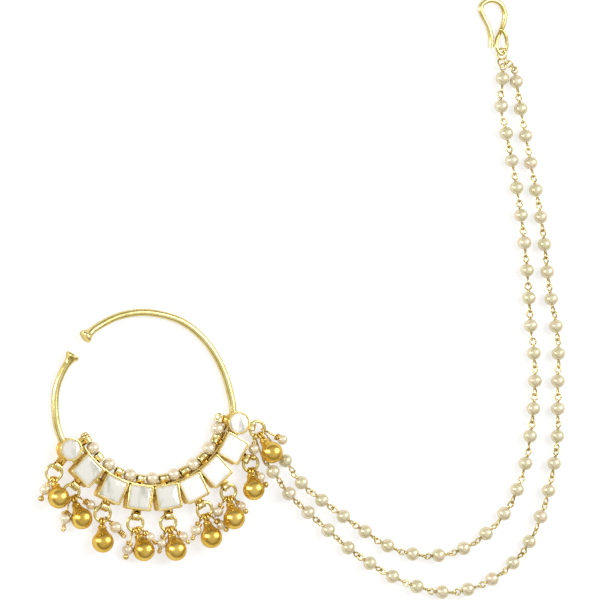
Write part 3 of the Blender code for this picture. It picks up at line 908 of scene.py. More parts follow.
@dataclass
class Hoop:
    """Open hoop of drawn wire with a flared terminal at each end."""

    wire: float = 1.65 * MM
    step: float = 0.6 * MM
    sides: int = 16
    draw_marks: float = 0.012
    seed: int = 3
    flare_width: float = 3.3 * MM
    flare_length: float = 2.6 * MM
    flare_cover: float = 0.55
    flare_lift: float = 0.06 * MM
    rise_length: float = 14 * MM
    shape: tuple = (
        (150, 0.964), (161, 0.991), (172, 1.018), (182, 1.025), (193, 1.032), (202, 1.030),
        (210, 1.008), (226, 1.0), (252, 1.0), (278, 1.0), (304, 1.0), (330, 1.0),
        (346, 0.964), (353, 0.914), (360, 0.896), (379, 0.860), (397, 0.858), (414, 0.872),
        (431, 0.890), (452, 0.910), (470, 0.932), (486, 0.950), (498, 0.973),
    )
    flare: tuple = (
        (0.015, 0.3), (0.04, 0.7), (0.08, 0.9), (0.14, 0.98), (0.24, 0.98),
        (0.32, 0.9), (0.38, 0.68), (0.52, 0.42), (0.74, 0.14), (1.0, 0.0),
    )

    def line(self) -> list:
        """Runs the middle line of the hoop.

        Returns:
            Its points.
        """
        height = self.wire / 2 + LAYOUT.floor_gap
        radius = LAYOUT.setting_radius
        return smooth_line([direction(a) * radius * share + UP * height for a, share in self.shape])

    def build(self, finishes: Finishes) -> None:
        """Builds and dresses the wire and its two terminals.

        Args:
            finishes: the finishes of the jewel.
        """
        line = self.line()
        length = line_length(line)
        count = round(length / self.step)
        draws = random.Random(self.seed)
        points = []
        widths = []
        for number in range(count + 1):
            point, _ = walk(line, length * number / count)
            end = min(number, count - number) * length / count
            if end >= self.flare_length * self.flare_cover:
                points.append(point + UP * self.lift(end))
                widths.append(1.0 + draws.uniform(-self.draw_marks, self.draw_marks))
        wire = bent_wire("hoop_wire", [points], self.wire, self.sides, widths=widths)
        ends = [self.terminal("lower_terminal", line, 0.0), self.terminal("upper_terminal", line, length)]
        finishes.dress(joined("hoop_wire", [wire, *ends]), finishes.hoop, ["hoop_frame"])

    def lift(self, distance: float) -> float:
        """Returns how far the wire is raised at a distance from its flared end."""
        share = max(0.0, 1 - distance / self.rise_length)
        return share * share * (self.flare_width - self.wire) / 2

    def terminal(self, name: str, line: list, distance: float) -> Thing:
        """Turns one flared terminal and sets it on the wire's end.

        Args:
            name: name of the terminal.
            line: middle line of the hoop.
            distance: where on the line it sits.

        Returns:
            The terminal.
        """
        growth = (self.flare_width - self.wire) / 2
        profile = [(TIP, 0.0)]
        for along, share in self.flare:
            profile.append((self.wire / 2 + growth * share, along * self.flare_length))
        profile.append((TIP, self.flare_length))
        point, along = walk(line, distance)
        inward = along if distance == 0.0 else -along
        tip = point + UP * (self.lift(0.0) + self.flare_lift)
        foot = point + inward * self.flare_length + UP * self.lift(self.flare_length)
        return placed(turned(name, profile), frame_along(tip, foot - tip, UP))


# Settings and stones


@dataclass
class SettingRow:
    """Nine box settings with their rims, their feet and the tubes soldered to them."""

    rim: float = 0.25 * MM
    rim_lip: float = 0.1 * MM
    rim_spread: float = 0.26 * MM
    rim_depth: float = 3
    rim_bevel: float = 0.6
    rim_rise: float = 0.55
    rim_fall: float = 1.6
    rim_inside: float = 1.5
    box_spread: float = 0.7
    ledge: float = 1.05
    well: float = 0.5 * MM
    taper: float = 0.2 * MM
    foot_spread: float = 0.12 * MM
    foot_height: float = 0.75 * MM
    foot_round: float = 0.42
    tube: float = 2.05 * MM
    bore: float = 1.3 * MM
    tube_sides: int = 28
    tube_bands: tuple = ((0.93, 1.0), (1.0, 0.88), (1.0, 0.66), (0.965, 0.56))
    inner_stretch: float = 1.12
    outer_stretch: float = 1.45
    neck: float = 1.6 * MM
    neck_sides: int = 20
    neck_flare: tuple = (1.5, 1.3, 1)
    neck_foot: float = 0.05
    strip: float = 0.95 * MM
    strip_inset: float = 3.08 * MM
    strip_margin: float = 4
    strip_steps: int = 90
    strip_sides: int = 12
    upper_strip: float = 0.5 * MM
    upper_inset: float = 2.92 * MM
    upper_height: float = 2.6 * MM

    def build(self, finishes: Finishes) -> None:
        """Builds and dresses the boxes, the rims, the tubes and the two strips.

        Args:
            finishes: the finishes of the jewel.
        """
        boxes = []
        rims = []
        for number, setting in enumerate(LAYOUT.settings, 1):
            boxes += self.box(number, setting)
            rims.append(self.rim_ring(number, setting))
        tubes, necks = self.tubes()
        low = self.strip / 2 + LAYOUT.floor_gap
        base = self.strip_wire("base_strip", self.strip_inset, low, self.strip)
        upper = self.strip_wire("upper_strip", self.upper_inset, self.upper_height, self.upper_strip)
        # Boxes and necks wear the wall gold, whose darker, browner tone is painted shade of their side
        # faces.
        for piece, finish in (
            (joined("setting_boxes", boxes), finishes.wall),
            (joined("setting_rims", rims), finishes.grip),
            (joined("soldered_tubes", tubes), finishes.rim),
            (joined("tube_necks", necks), finishes.wall),
            (base, finishes.rim),
            (upper, finishes.rim),
        ):
            finishes.dress(piece, finish, ["hoop_frame"])

    def box(self, number: int, setting: Setting) -> list:
        """Builds the box of one setting and its rounded foot.

        Args:
            number: place in the row, from the left.
            setting: the setting.

        Returns:
            The box and the foot.
        """
        width = LAYOUT.width(setting)
        height = LAYOUT.setting_height - self.rim_lip
        body = LAYOUT.blank(f"box_{number}", setting, width + self.rim_spread * self.box_spread, height)
        choose(body, "FACE", lambda place, normal: normal.z < -LEVEL)
        share = (width - 2 * self.taper) / width
        bpy.ops.transform.resize(value=(share, share, 1))
        choose(body, "FACE", lambda place, normal: normal.z > LEVEL)
        bpy.ops.mesh.inset(thickness=self.rim * self.ledge)
        bpy.ops.mesh.extrude_region_move(TRANSFORM_OT_translate={"value": UP * -self.well})
        bpy.ops.object.mode_set(mode="OBJECT")
        foot = LAYOUT.blank(f"foot_{number}", setting, width + 2 * self.foot_spread, self.foot_height)
        choose(foot, "FACE", lambda place, normal: abs(normal.z) > LEVEL)
        bpy.ops.mesh.bevel(offset=self.foot_height * self.foot_round, **ROUNDING)
        bpy.ops.object.mode_set(mode="OBJECT")
        place = LAYOUT.setting_frame(setting)
        return [placed(body, place), placed(foot, place)]

    def rim_ring(self, number: int, setting: Setting) -> Thing:
        """Builds the bright rim that grips one stone.

        Args:
            number: place in the row, from the left.
            setting: the setting.

        Returns:
            The rim.
        """
        lip = self.rim_lip
        height = lip * self.rim_depth
        rim = LAYOUT.blank(f"rim_{number}", setting, LAYOUT.width(setting) + self.rim_spread, height)
        choose(rim, "FACE", lambda place, normal: normal.z > LEVEL)
        bpy.ops.mesh.inset(thickness=lip * self.rim_bevel)
        bpy.ops.transform.translate(value=UP * (lip * self.rim_rise))
        bpy.ops.mesh.inset(thickness=self.rim - lip * self.rim_bevel * 2)
        bpy.ops.mesh.inset(thickness=lip * self.rim_bevel)
        bpy.ops.transform.translate(value=UP * (-lip * self.rim_fall))
        bpy.ops.mesh.extrude_region_move(TRANSFORM_OT_translate={"value": UP * (-lip * self.rim_inside)})
        bpy.ops.object.mode_set(mode="OBJECT")
        lift = Matrix.Translation(UP * (LAYOUT.setting_height - height - lip * self.rim_rise))
        return placed(rim, LAYOUT.setting_frame(setting) @ lift)

    def barrel(self, name: str, length: float) -> Thing:
        """Turns one open tube with a raised band at each end.

        Args:
            name: name of the tube.
            length: its length.

        Returns:
            The tube, along Z.
        """
        wall = self.tube / 2
        hole = self.bore / 2
        half = length / 2
        rows = [(wall * share, half * along) for share, along in self.tube_bands]
        lower = [(radius, -height) for radius, height in rows]
        outside = [(hole, -half), *lower, *reversed(rows), (hole, half), (hole, -half)]
        return turned(name, outside, self.tube_sides)

    def tubes(self) -> tuple:
        """Builds all tubes and the necks that join them to their settings.

        Returns:
            The list of tubes and the list of necks.
        """
        tubes = []
        necks = []
        inner = LAYOUT.inner_tube_length * self.inner_stretch
        outer = LAYOUT.outer_tube_length * self.outer_stretch
        for side, length in (("inner", inner), ("outer", outer)):
            places = []
            for number, setting in enumerate(LAYOUT.settings, 1):
                if side == "inner":
                    middle = LAYOUT.inner_tube(setting)
                    towards = -direction(setting.angle)
                else:
                    middle = LAYOUT.outer_tube(setting)
                    towards = direction(setting.angle + setting.turn)
                places.append(frame_along(middle, towards.cross(UP), UP))
                necks.append(self.neck_block(f"{side}_neck_{number}", setting, middle, towards))
            tubes += copies(self.barrel(f"{side}_tube", length), places)
        return tubes, necks

    def neck_block(self, name: str, setting: Setting, middle: Vector, towards: Vector) -> Thing:
        """Builds the short neck between a tube and its setting's wall.

        Args:
            name: name of the neck.
            setting: the setting.
            middle: middle of the tube.
            towards: level direction from the setting to the tube.

        Returns:
            The neck.
        """
        centre = LAYOUT.place(setting)
        reach = Vector((middle.x - centre.x, middle.y - centre.y)).length
        start = (self.tube + self.bore) / 4
        length = reach - LAYOUT.width(setting) / 2 + self.rim - start
        clear_choice()
        bpy.ops.mesh.primitive_cylinder_add(vertices=self.neck_sides, radius=self.neck / 2, depth=length)
        neck = bpy.context.object
        neck.name = name
        bpy.ops.object.mode_set(mode="EDIT")
        choose(neck, "FACE", lambda place, normal: normal.z > LEVEL)
        bpy.ops.transform.resize(value=self.neck_flare)
        foot = UP * (length * self.neck_foot)
        bpy.ops.mesh.extrude_region_move(TRANSFORM_OT_translate={"value": foot})
        bpy.ops.object.mode_set(mode="OBJECT")
        place = frame_along(middle, -towards, UP)
        return placed(neck, place @ Matrix.Translation(UP * (start + length / 2)))

    def strip_wire(self, name: str, inset: float, height: float, width: float) -> Thing:
        """Bends one strip that joins the settings on their inner side.

        Args:
            name: name of the piece.
            inset: how far inside the settings' circle it runs.
            height: height of its middle line.
            width: its diameter.

        Returns:
            The strip.
        """
        first = LAYOUT.settings[0].angle + self.strip_margin
        last = LAYOUT.settings[-1].angle - self.strip_margin
        points = []
        for i in range(self.strip_steps + 1):
            angle = first + (last - first) * i / self.strip_steps
            points.append(direction(angle) * (LAYOUT.setting_radius - inset) + UP * height)
        return bent_wire(name, [points], width, self.strip_sides)


@dataclass
class StoneRow:
    """Nine cut stones with a table, a crown and a crease of the foil behind them."""

    wall: float = 0.28 * MM
    play: float = 0.02 * MM
    sink: float = 0.05 * MM
    girdle: float = 0.4 * MM
    crown: float = 0.22 * MM
    crown_run: float = 0.42 * MM
    crease: float = 0.2 * MM
    smooth: float = 3

    def build(self, finishes: Finishes) -> None:
        """Builds and dresses the stones.

        Args:
            finishes: the finishes of the jewel.
        """
        for number, setting in enumerate(LAYOUT.settings, 1):
            stone = self.stone(number, setting)
            finishes.dress(stone, finishes.stones[setting.foil], [f"stone_{number}"], self.smooth)

    def stone(self, number: int, setting: Setting) -> Thing:
        """Cuts one stone. Its crease peaks at the setting's shares of the half table.

        Args:
            number: place in the row, from the left.
            setting: its setting.

        Returns:
            The stone in its place.
        """
        width = LAYOUT.width(setting) - 2 * self.wall + self.play
        stone = LAYOUT.blank(f"cut_stone_{number}", setting, width, self.girdle)
        choose(stone, "FACE", lambda place, normal: normal.z > LEVEL)
        bpy.ops.mesh.inset(thickness=self.crown_run)
        bpy.ops.transform.translate(value=UP * self.crown)
        creased = setting.crease != (0, 0)
        if creased:
            bpy.ops.mesh.poke()
        bpy.ops.object.mode_set(mode="OBJECT")
        if creased:
            table = [vertex for vertex in stone.data.vertices if vertex.select]
            peak = min(table, key=lambda vertex: vertex.co.x**2 + vertex.co.y**2)
            half = width / 2 - self.crown_run
            peak.co += Vector((half * setting.crease[0], half * setting.crease[1], self.crease))
        top = LAYOUT.setting_height - self.girdle - self.crown - self.sink
        return placed(stone, LAYOUT.setting_frame(setting) @ Matrix.Translation(UP * top))


# Pearls and the string inside the row


@dataclass
class Beads:
    """Round pearls, modelled once and copied, with a small dimple at each hole."""

    segments: int = 20
    rings: int = 14
    dimple: float = 0.05
    pole: float = 0.499
    smallest: float = 0.975
    flattest: float = 0.95
    roundest: float = 0.985

    def model(self, name: str) -> Thing:
        """Makes one pearl of unit diameter with its hole along Z.

        Args:
            name: name of the pearl.

        Returns:
            The pearl.
        """
        clear_choice()
        bpy.ops.mesh.primitive_uv_sphere_add(segments=self.segments, ring_count=self.rings, radius=0.5)
        pearl = bpy.context.object
        pearl.name = name
        bpy.ops.object.mode_set(mode="EDIT")
        bpy.ops.mesh.select_mode(type="VERT")
        bpy.ops.mesh.select_all(action="DESELECT")
        bpy.ops.object.mode_set(mode="OBJECT")
        for vertex in pearl.data.vertices:
            vertex.select = abs(vertex.co.z) > self.pole
        bpy.ops.object.mode_set(mode="EDIT")
        bpy.ops.transform.resize(value=(1, 1, 1 - self.dimple))
        bpy.ops.object.mode_set(mode="OBJECT")
        return pearl

    def string(self, name: str, places: list, width: float, seed: int = 5) -> Thing:
        """Sets pearls at places along a wire.

        Args:
            name: name of the joined piece.
            places: pairs of middle and wire direction.
            width: diameter of a pearl.
            seed: seed of their small differences.

        Returns:
            The pearls as one object.
        """
        draws = random.Random(seed)
        frames = []
        for middle, along in places:
            turn = Matrix.Rotation(draws.uniform(0, TURN), 4, "Z")
            size = width * draws.uniform(self.smallest, 1.0)
            squash = Matrix.Diagonal((size, size, size * draws.uniform(self.flattest, self.roundest), 1))
            frames.append(frame_along(middle, along, UP) @ turn @ squash)
        return joined(name, copies(self.model(name), frames))


@dataclass
class InnerString:
    """Eight pearls on a wire through the inner tubes, with a wound end outside each end tube."""

    pearl: float = 3.05 * MM
    wire: float = 0.4 * MM
    knot: float = 1.85 * MM
    knot_length: float = 0.6 * MM
    knot_gap: float = 0.14 * MM
    knot_sides: int = 24
    left_knot: tuple = (0.92, 1.0)
    right_knot: tuple = (0.6, 0.4)
    knot_shape: tuple = (
        (0.0002, 0.0), (0.74, 0.0), (0.94, 0.14), (1.0, 0.34),
        (1.0, 0.66), (0.94, 0.86), (0.74, 1.0), (0.0002, 1.0),
    )

    def build(self, finishes: Finishes, beads: Beads) -> None:
        """Builds and dresses the pearls and their wire.

        Args:
            finishes: the finishes of the jewel.
            beads: the maker of pearls.
        """
        tubes = [LAYOUT.inner_tube(setting) for setting in LAYOUT.settings]
        places = [((a + b) / 2, (b - a).normalized()) for a, b in zip(tubes, tubes[1:])]
        pearls = beads.string("inner_pearls", places, self.pearl)
        finishes.dress(pearls, finishes.rose_pearl, ["inner_pearl_string"])
        ends = []
        knots = []
        start = LAYOUT.inner_tube_length / 2 + self.knot_gap
        for tube, after, setting, (width, length) in (
            (tubes[0], tubes[1], LAYOUT.settings[0], self.left_knot),
            (tubes[-1], tubes[-2], LAYOUT.settings[-1], self.right_knot),
        ):
            axis = direction(setting.angle + 90)
            axis = axis if axis.dot(tube - after) > 0 else -axis
            place = frame_along(tube + axis * start, axis, UP)
            ends.append(tube + axis * (start + self.knot_length * length))
            knots.append(place @ Matrix.Diagonal((width, width, length, 1)))
        wire = bent_wire("string_wire", [[ends[0], *tubes, ends[-1]]], self.wire)
        shape = [(self.knot / 2 * share, self.knot_length * along) for share, along in self.knot_shape]
        crimps = copies(turned("string_crimp", shape, self.knot_sides), knots)
        finishes.dress(joined("string_wire", [wire, *crimps]), finishes.link, ["inner_pearl_string"])


# Jump rings and bells


@dataclass
class JumpRings:
    """Nine open jump rings, each through the outer tube of its setting."""

    gap: float = 0.01
    fuller: float = 1.25
    wider: float = 0.03 * MM
    first_cut: float = 35
    next_cut: float = 47
    detail: tuple = (44, 12)

    def build(self, finishes: Finishes) -> None:
        """Builds and dresses the rings.

        Args:
            finishes: the finishes of the jewel.
        """
        radius = LAYOUT.ring_radius() + self.wider
        wire = LAYOUT.jump_ring_wire * self.fuller
        for number, setting in enumerate(LAYOUT.settings, 1):
            cut = (1 - self.gap, math.radians(self.first_cut + self.next_cut * number))
            name = f"jump_ring_wire_{number}"
            ring = open_ring(name, LAYOUT.ring_frame(setting), radius, wire, cut, self.detail)
            finishes.dress(ring, finishes.hoop, [f"jump_ring_{number}"])


@dataclass
class Bells:
    """Nine hollow bells, each with a wound neck and a loop of two strands."""

    width: float = 4.95 * MM
    cad_width: float = 4.75 * MM
    reach: float = 4.7 * MM
    loop_width: float = 2.2 * MM
    loop_wire: float = 0.54 * MM
    loop_spread: float = 0.24 * MM
    loop_lean: float = 9
    loop_steps: int = 28
    neck: float = 1.6 * MM
    neck_shape: tuple = ((0.99, 0.75), (0.8, 0.93), (0.67, 1.11), (0.58, 1.29))
    neck_end: float = 0.12 * MM
    neck_tip: float = 0.2 * MM
    winding: float = 0.6 * MM
    winding_start: float = 0.05 * MM
    winding_turns: float = 1.6
    winding_steps: int = 14
    winding_wire: float = 0.9
    ball_step: int = 6
    ball_end: int = 129
    sides: int = 40
    roll: float = 12
    seed: int = 11
    hangs: tuple = (
        (-87, 0.34), (-70, 0.0), (-92, 0.0), (-74, 0.0), (-76, 0.0),
        (-78, 0.0), (-83, 0.22), (-90, 0.3), (-61, 0.2),
    )

    def profile(self) -> list:
        """Draws the outline of the bell's body from its foot to its neck.

        Returns:
            Pairs of radius and distance from the loop's middle.
        """
        radius = self.width / 2
        points = [(TIP, self.reach + radius)]
        for degrees in range(self.ball_step, self.ball_end, self.ball_step):
            turn = math.radians(degrees)
            points.append((radius * math.sin(turn), self.reach + radius * math.cos(turn)))
        points += [(self.neck * share, self.reach - radius * below) for share, below in self.neck_shape]
        points.append((self.neck / 2, self.loop_width / 2 - self.neck_end))
        points.append((TIP, self.loop_width / 2 - self.neck_tip))
        return points

    def model(self) -> Thing:
        """Makes one bell below its loop, whose middle is at the origin.

        Returns:
            The bell.
        """
        body = turned("bell_body", self.profile(), self.sides)
        ring = circle_points((self.loop_width - self.loop_wire) / 2, self.loop_steps)[:-1]
        strands = []
        for side in (-1, 1):
            tilt = Matrix.Rotation(math.radians(self.loop_lean * side), 4, "Z")
            shift = Matrix.Translation((0, self.loop_spread * side, 0))
            strands.append(through(shift @ tilt, ring))
        loop = bent_wire("bell_loop", strands, self.loop_wire, closed=True)
        top = self.loop_width / 2 - self.winding_start
        coil = coil_points(self.neck / 2, top, top + self.winding, self.winding_turns, self.winding_steps)
        neck = bent_wire("bell_neck", [coil], self.loop_wire * self.winding_wire)
        return joined("bell_model", [body, loop, neck])

    def build(self, finishes: Finishes) -> None:
        """Builds and dresses the bells.

        Args:
            finishes: the finishes of the jewel.
        """
        model = self.model()
        draws = random.Random(self.seed)
        for number, (bearing, lift) in enumerate(self.hangs, 1):
            low = max(self.width / 2, self.cad_width * (0.5 + lift)) + LAYOUT.floor_gap
            place = LAYOUT.hang_frame(LAYOUT.settings[number - 1], bearing, bearing, low, self.reach)
            roll = Matrix.Rotation(math.radians(draws.uniform(-self.roll, self.roll)), 4, "Z")
            bell = placed(twin_of(model), place @ roll)
            bell.name = f"gold_bell_{number}"
            finishes.dress(bell, finishes.bell, [f"bell_{number}"])
        bpy.data.objects.remove(model)


# Pearl drops


@dataclass(frozen=True)
class Drop:
    """One pearl drop: where it hangs, its shares of the pearl's width, and its trim."""

    mark: str
    seat: float
    bearing: float
    reach: float
    tail: float
    pearl: float
    cap: Cap
    end: Tail
    lift: float = 0.0


@dataclass
class Drops:
    """Fifteen pearls on head pins with hand-bent loops, wound caps and small tails."""

    pearl: float = 2.4 * MM
    plump: float = 1.04
    hole: float = 0.93
    hidden: float = 0.1 * MM
    wire: float = 0.42 * MM
    loop_width: float = 1.9 * MM
    loop_steps: int = 26
    loop_sweep: float = 0.97
    stem_end: float = 0.2 * MM
    stem_steps: int = 4
    collar: float = 1.1 * MM
    collar_length: float = 0.9 * MM
    flare_share: float = 1.12
    flare: tuple = (
        (0.1, 0.0, -0.9), (0.42, 0.0, -0.74), (0.0, 0.9, -0.2), (0.0, 1.0, 0.08),
        (0.0, 0.94, 0.16), (0.3, 0.0, 0.0), (0.1, 0.0, 0.0), (0.1, 0.0, -0.9),
    )
    flare_sides: int = 24
    coil_reach: float = 1.5
    coil_pack: float = 0.95
    coil_steps: int = 14
    least_turns: float = 1.5
    knot_reach: float = 1.1
    knot_turns: float = 1.3
    knot_wire: float = 0.9
    ball_steps: int = 10
    ball_sides: int = 16
    head: float = 1.38 * MM
    upper_head: float = 0.66
    upper_lift: float = 0.06 * MM
    lower_head: float = 0.78
    lower_drop: float = 0.12
    eye_side: float = 0.52 * MM
    eye_taper: float = 0.6
    eye_wire: float = 1.15
    eye_steps: int = 20
    tail_reach: float = 1.2
    tail_over: float = 0.1
    tail_turns: float = 3.6
    ring: float = 0.46 * MM
    ring_drop: float = 0.25 * MM
    ring_steps: int = 18
    stub: float = 0.12 * MM
    stub_wire: float = 1.2
    bare_stub: float = 0.15 * MM
    bead: float = 0.5 * MM
    bead_drop: float = 0.1 * MM
    drops: tuple = (
        Drop("1a", -117, -117, 1.06, 0.92, 1.04, Cap.NONE, Tail.BALL),
        Drop("2a", -102, -102, 1.82, 0.92, 1.04, Cap.FLARED, Tail.LOOP),
        Drop("2b", -32, -32, 1.56, 0.75, 0.92, Cap.COIL, Tail.BALL),
        Drop("3a", -44, -44, 1.08, 1.05, 1.1, Cap.NONE, Tail.COIL),
        Drop("4a", -106, -106, 1.83, 0.7, 1.04, Cap.COIL, Tail.BALL),
        Drop("4b", -42, -42, 1.2, 0.7, 0.96, Cap.COIL, Tail.TWO_BALLS),
        Drop("5a", -107, -107, 1.27, 0.74, 0.96, Cap.COIL, Tail.TWO_BALLS),
        Drop("5b", -42, -42, 1.24, 0.68, 1.0, Cap.NONE, Tail.TWO_BALLS),
        Drop("6a", -113, -113, 1.32, 0.78, 1.04, Cap.COIL, Tail.TWO_BALLS),
        Drop("6b", -40, -40, 1.5, 0.62, 0.96, Cap.COIL, Tail.BALL),
        Drop("7a", -119, -119, 1.33, 0.0, 1.02, Cap.COIL, Tail.SIDE_WIRE),
        Drop("7b", -46, -46, 1.1, 0.66, 0.96, Cap.NONE, Tail.BALL),
        Drop("8a", -52, -52, 0.88, 0.9, 0.96, Cap.NONE, Tail.BALL),
        Drop("9a", -112, -99, 1.24, 0.86, 1.0, Cap.NONE, Tail.BALL, 0.5),
        Drop("9b", -8, -26, 2.05, 0.0, 0.96, Cap.COIL, Tail.NONE),
    )

    def build(self, finishes: Finishes, beads: Beads) -> None:
        """Builds and dresses the drops, a pearl and a bent wire for each.

        Args:
            finishes: the finishes of the jewel.
            beads: the maker of pearls.
        """
        for drop in self.drops:
            node = f"pearl_drop_{drop.mark}"
            setting = LAYOUT.settings[int(drop.mark[0]) - 1]
            low = self.pearl * (drop.pearl * self.plump / 2 + drop.lift) + LAYOUT.floor_gap
            reach = self.pearl * drop.reach
            place = LAYOUT.hang_frame(setting, drop.seat, drop.bearing, low, reach)
            axis = (place @ UP - place.translation).normalized()
            seed = sum(ord(letter) for letter in drop.mark)
            spot = [(place @ (UP * reach), axis)]
            width = self.pearl * drop.pearl * self.plump
            pearl = beads.string(f"drop_pearl_{drop.mark}", spot, width, seed)
            finishes.dress(pearl, finishes.rose_pearl, [node])
            finishes.dress(placed(self.trim(drop), place), finishes.fine, [node])

    def trim(self, drop: Drop) -> Thing:
        """Bends one drop's wire, with its cap and tail, below the loop at the origin.

        Args:
            drop: the drop.

        Returns:
            The trim.
        """
        reach = self.pearl * drop.reach
        half = self.pearl * drop.pearl / 2
        top = reach - half * self.hole
        radius = (self.loop_width - self.wire) / 2
        loop = circle_points(radius, self.loop_steps, TURN * self.loop_sweep, QUARTER)
        end = top + self.stem_end
        steps = self.stem_steps
        stem = [UP * (radius + (end - radius) * i / steps) for i in range(steps + 1)]
        wire = bent_wire(f"trim_{drop.mark}", [loop + stem[1:], stem[:2]], self.wire)
        parts = [wire, self.cap(drop, top, radius), *self.tail(drop, reach + half * self.hole)]
        return joined(f"drop_wire_{drop.mark}", parts)

    def cap(self, drop: Drop, top: float, radius: float) -> Thing:
        """Makes what sits on the drop's pearl.

        Args:
            drop: the drop.
            top: distance from the loop's middle to the pearl.
            radius: radius of the loop.

        Returns:
            The cap.
        """
        name = f"cap_{drop.mark}"
        if drop.cap is Cap.FLARED:
            wide = self.collar * self.flare_share
            rows = [(fixed * MM + wide * share, top + along * MM) for fixed, share, along in self.flare]
            return turned(name, rows, self.flare_sides)
        if drop.cap is Cap.COIL:
            room = min(self.collar_length, top - radius)
            turns = max(self.least_turns, room / self.wire * self.coil_pack)
            start = top - room + self.wire / 2
            winding = coil_points(self.wire * self.coil_reach, start, top, turns, self.coil_steps)
            return bent_wire(name, [winding], self.wire)
        winding = coil_points(self.wire * self.knot_reach, top - self.wire, top, self.knot_turns)
        return bent_wire(name, [winding], self.wire * self.knot_wire)

    def ball(self, name: str, middle: float, width: float) -> Thing:
        """Turns one small ball on the pin.

        Args:
            name: name of the ball.
            middle: its distance from the loop's middle.
            width: its diameter.

        Returns:
            The ball.
        """
        points = []
        for step in range(self.ball_steps + 1):
            turn = math.pi * step / self.ball_steps
            points.append((max(TIP, width / 2 * math.sin(turn)), middle - width / 2 * math.cos(turn)))
        return turned(name, points, self.ball_sides)

    def tail(self, drop: Drop, foot: float) -> list:
        """Makes what the drop ends in.

        Args:
            drop: the drop.
            foot: distance from the loop to the foot of its pearl.

        Returns:
            The tail's pieces.
        """
        reach = self.pearl * (drop.reach + drop.tail)
        start = foot - self.hidden
        name = f"tail_{drop.mark}"
        if drop.end is Tail.BALL:
            return [self.pin(name, start, reach), self.ball(f"{name}_ball", reach, self.head)]
        if drop.end is Tail.TWO_BALLS:
            pin = self.pin(name, start, reach)
            middle = (foot + reach) / 2 - self.upper_lift
            upper = self.ball(f"{name}_upper", middle, self.head * self.upper_head)
            low = reach + self.head * self.lower_drop
            return [pin, upper, self.ball(f"{name}_lower", low, self.head * self.lower_head)]
        if drop.end is Tail.LOOP:
            low = reach + self.head / 2
            ring = []
            for step in range(self.eye_steps + 1):
                turn = TURN * step / self.eye_steps
                share = 0.5 - 0.5 * math.cos(turn)
                side = self.eye_side * math.sin(turn) * share**self.eye_taper
                ring.append(Vector((0, side, start + (low - foot) * share)))
            return [bent_wire(name, [ring], self.wire * self.eye_wire)]
        if drop.end is Tail.COIL:
            low = reach + self.head * self.tail_over
            winding = coil_points(self.wire * self.tail_reach, start, low, self.tail_turns)
            flat = Matrix.Translation(UP * (reach + self.ring_drop)) @ Matrix.Rotation(QUARTER, 4, "Z")
            ring = through(flat, circle_points(self.ring, self.ring_steps))
            return [bent_wire(name, [winding], self.wire), bent_wire(f"{name}_eye", [ring], self.wire)]
        if drop.end is Tail.SIDE_WIRE:
            pin = self.pin(name, start, foot + self.stub, self.stub_wire)
            return [pin, self.ball(f"{name}_ball", foot + self.bead_drop, self.bead)]
        return [self.pin(name, start, foot + self.bare_stub)]

    def pin(self, name: str, start: float, end: float, share: float = 1.0) -> Thing:
        """Returns a straight wire between two distances from the loop's middle."""
        return bent_wire(name, [[UP * start, UP * end]], self.wire * share)


# Pearl strands


@dataclass(frozen=True)
class Route:
    """Route of one strand from the hook to the ninth jump ring, in millimetres."""

    name: str
    jump_seat: float
    hook_seat: float
    seed: int
    points: tuple
    dip: tuple


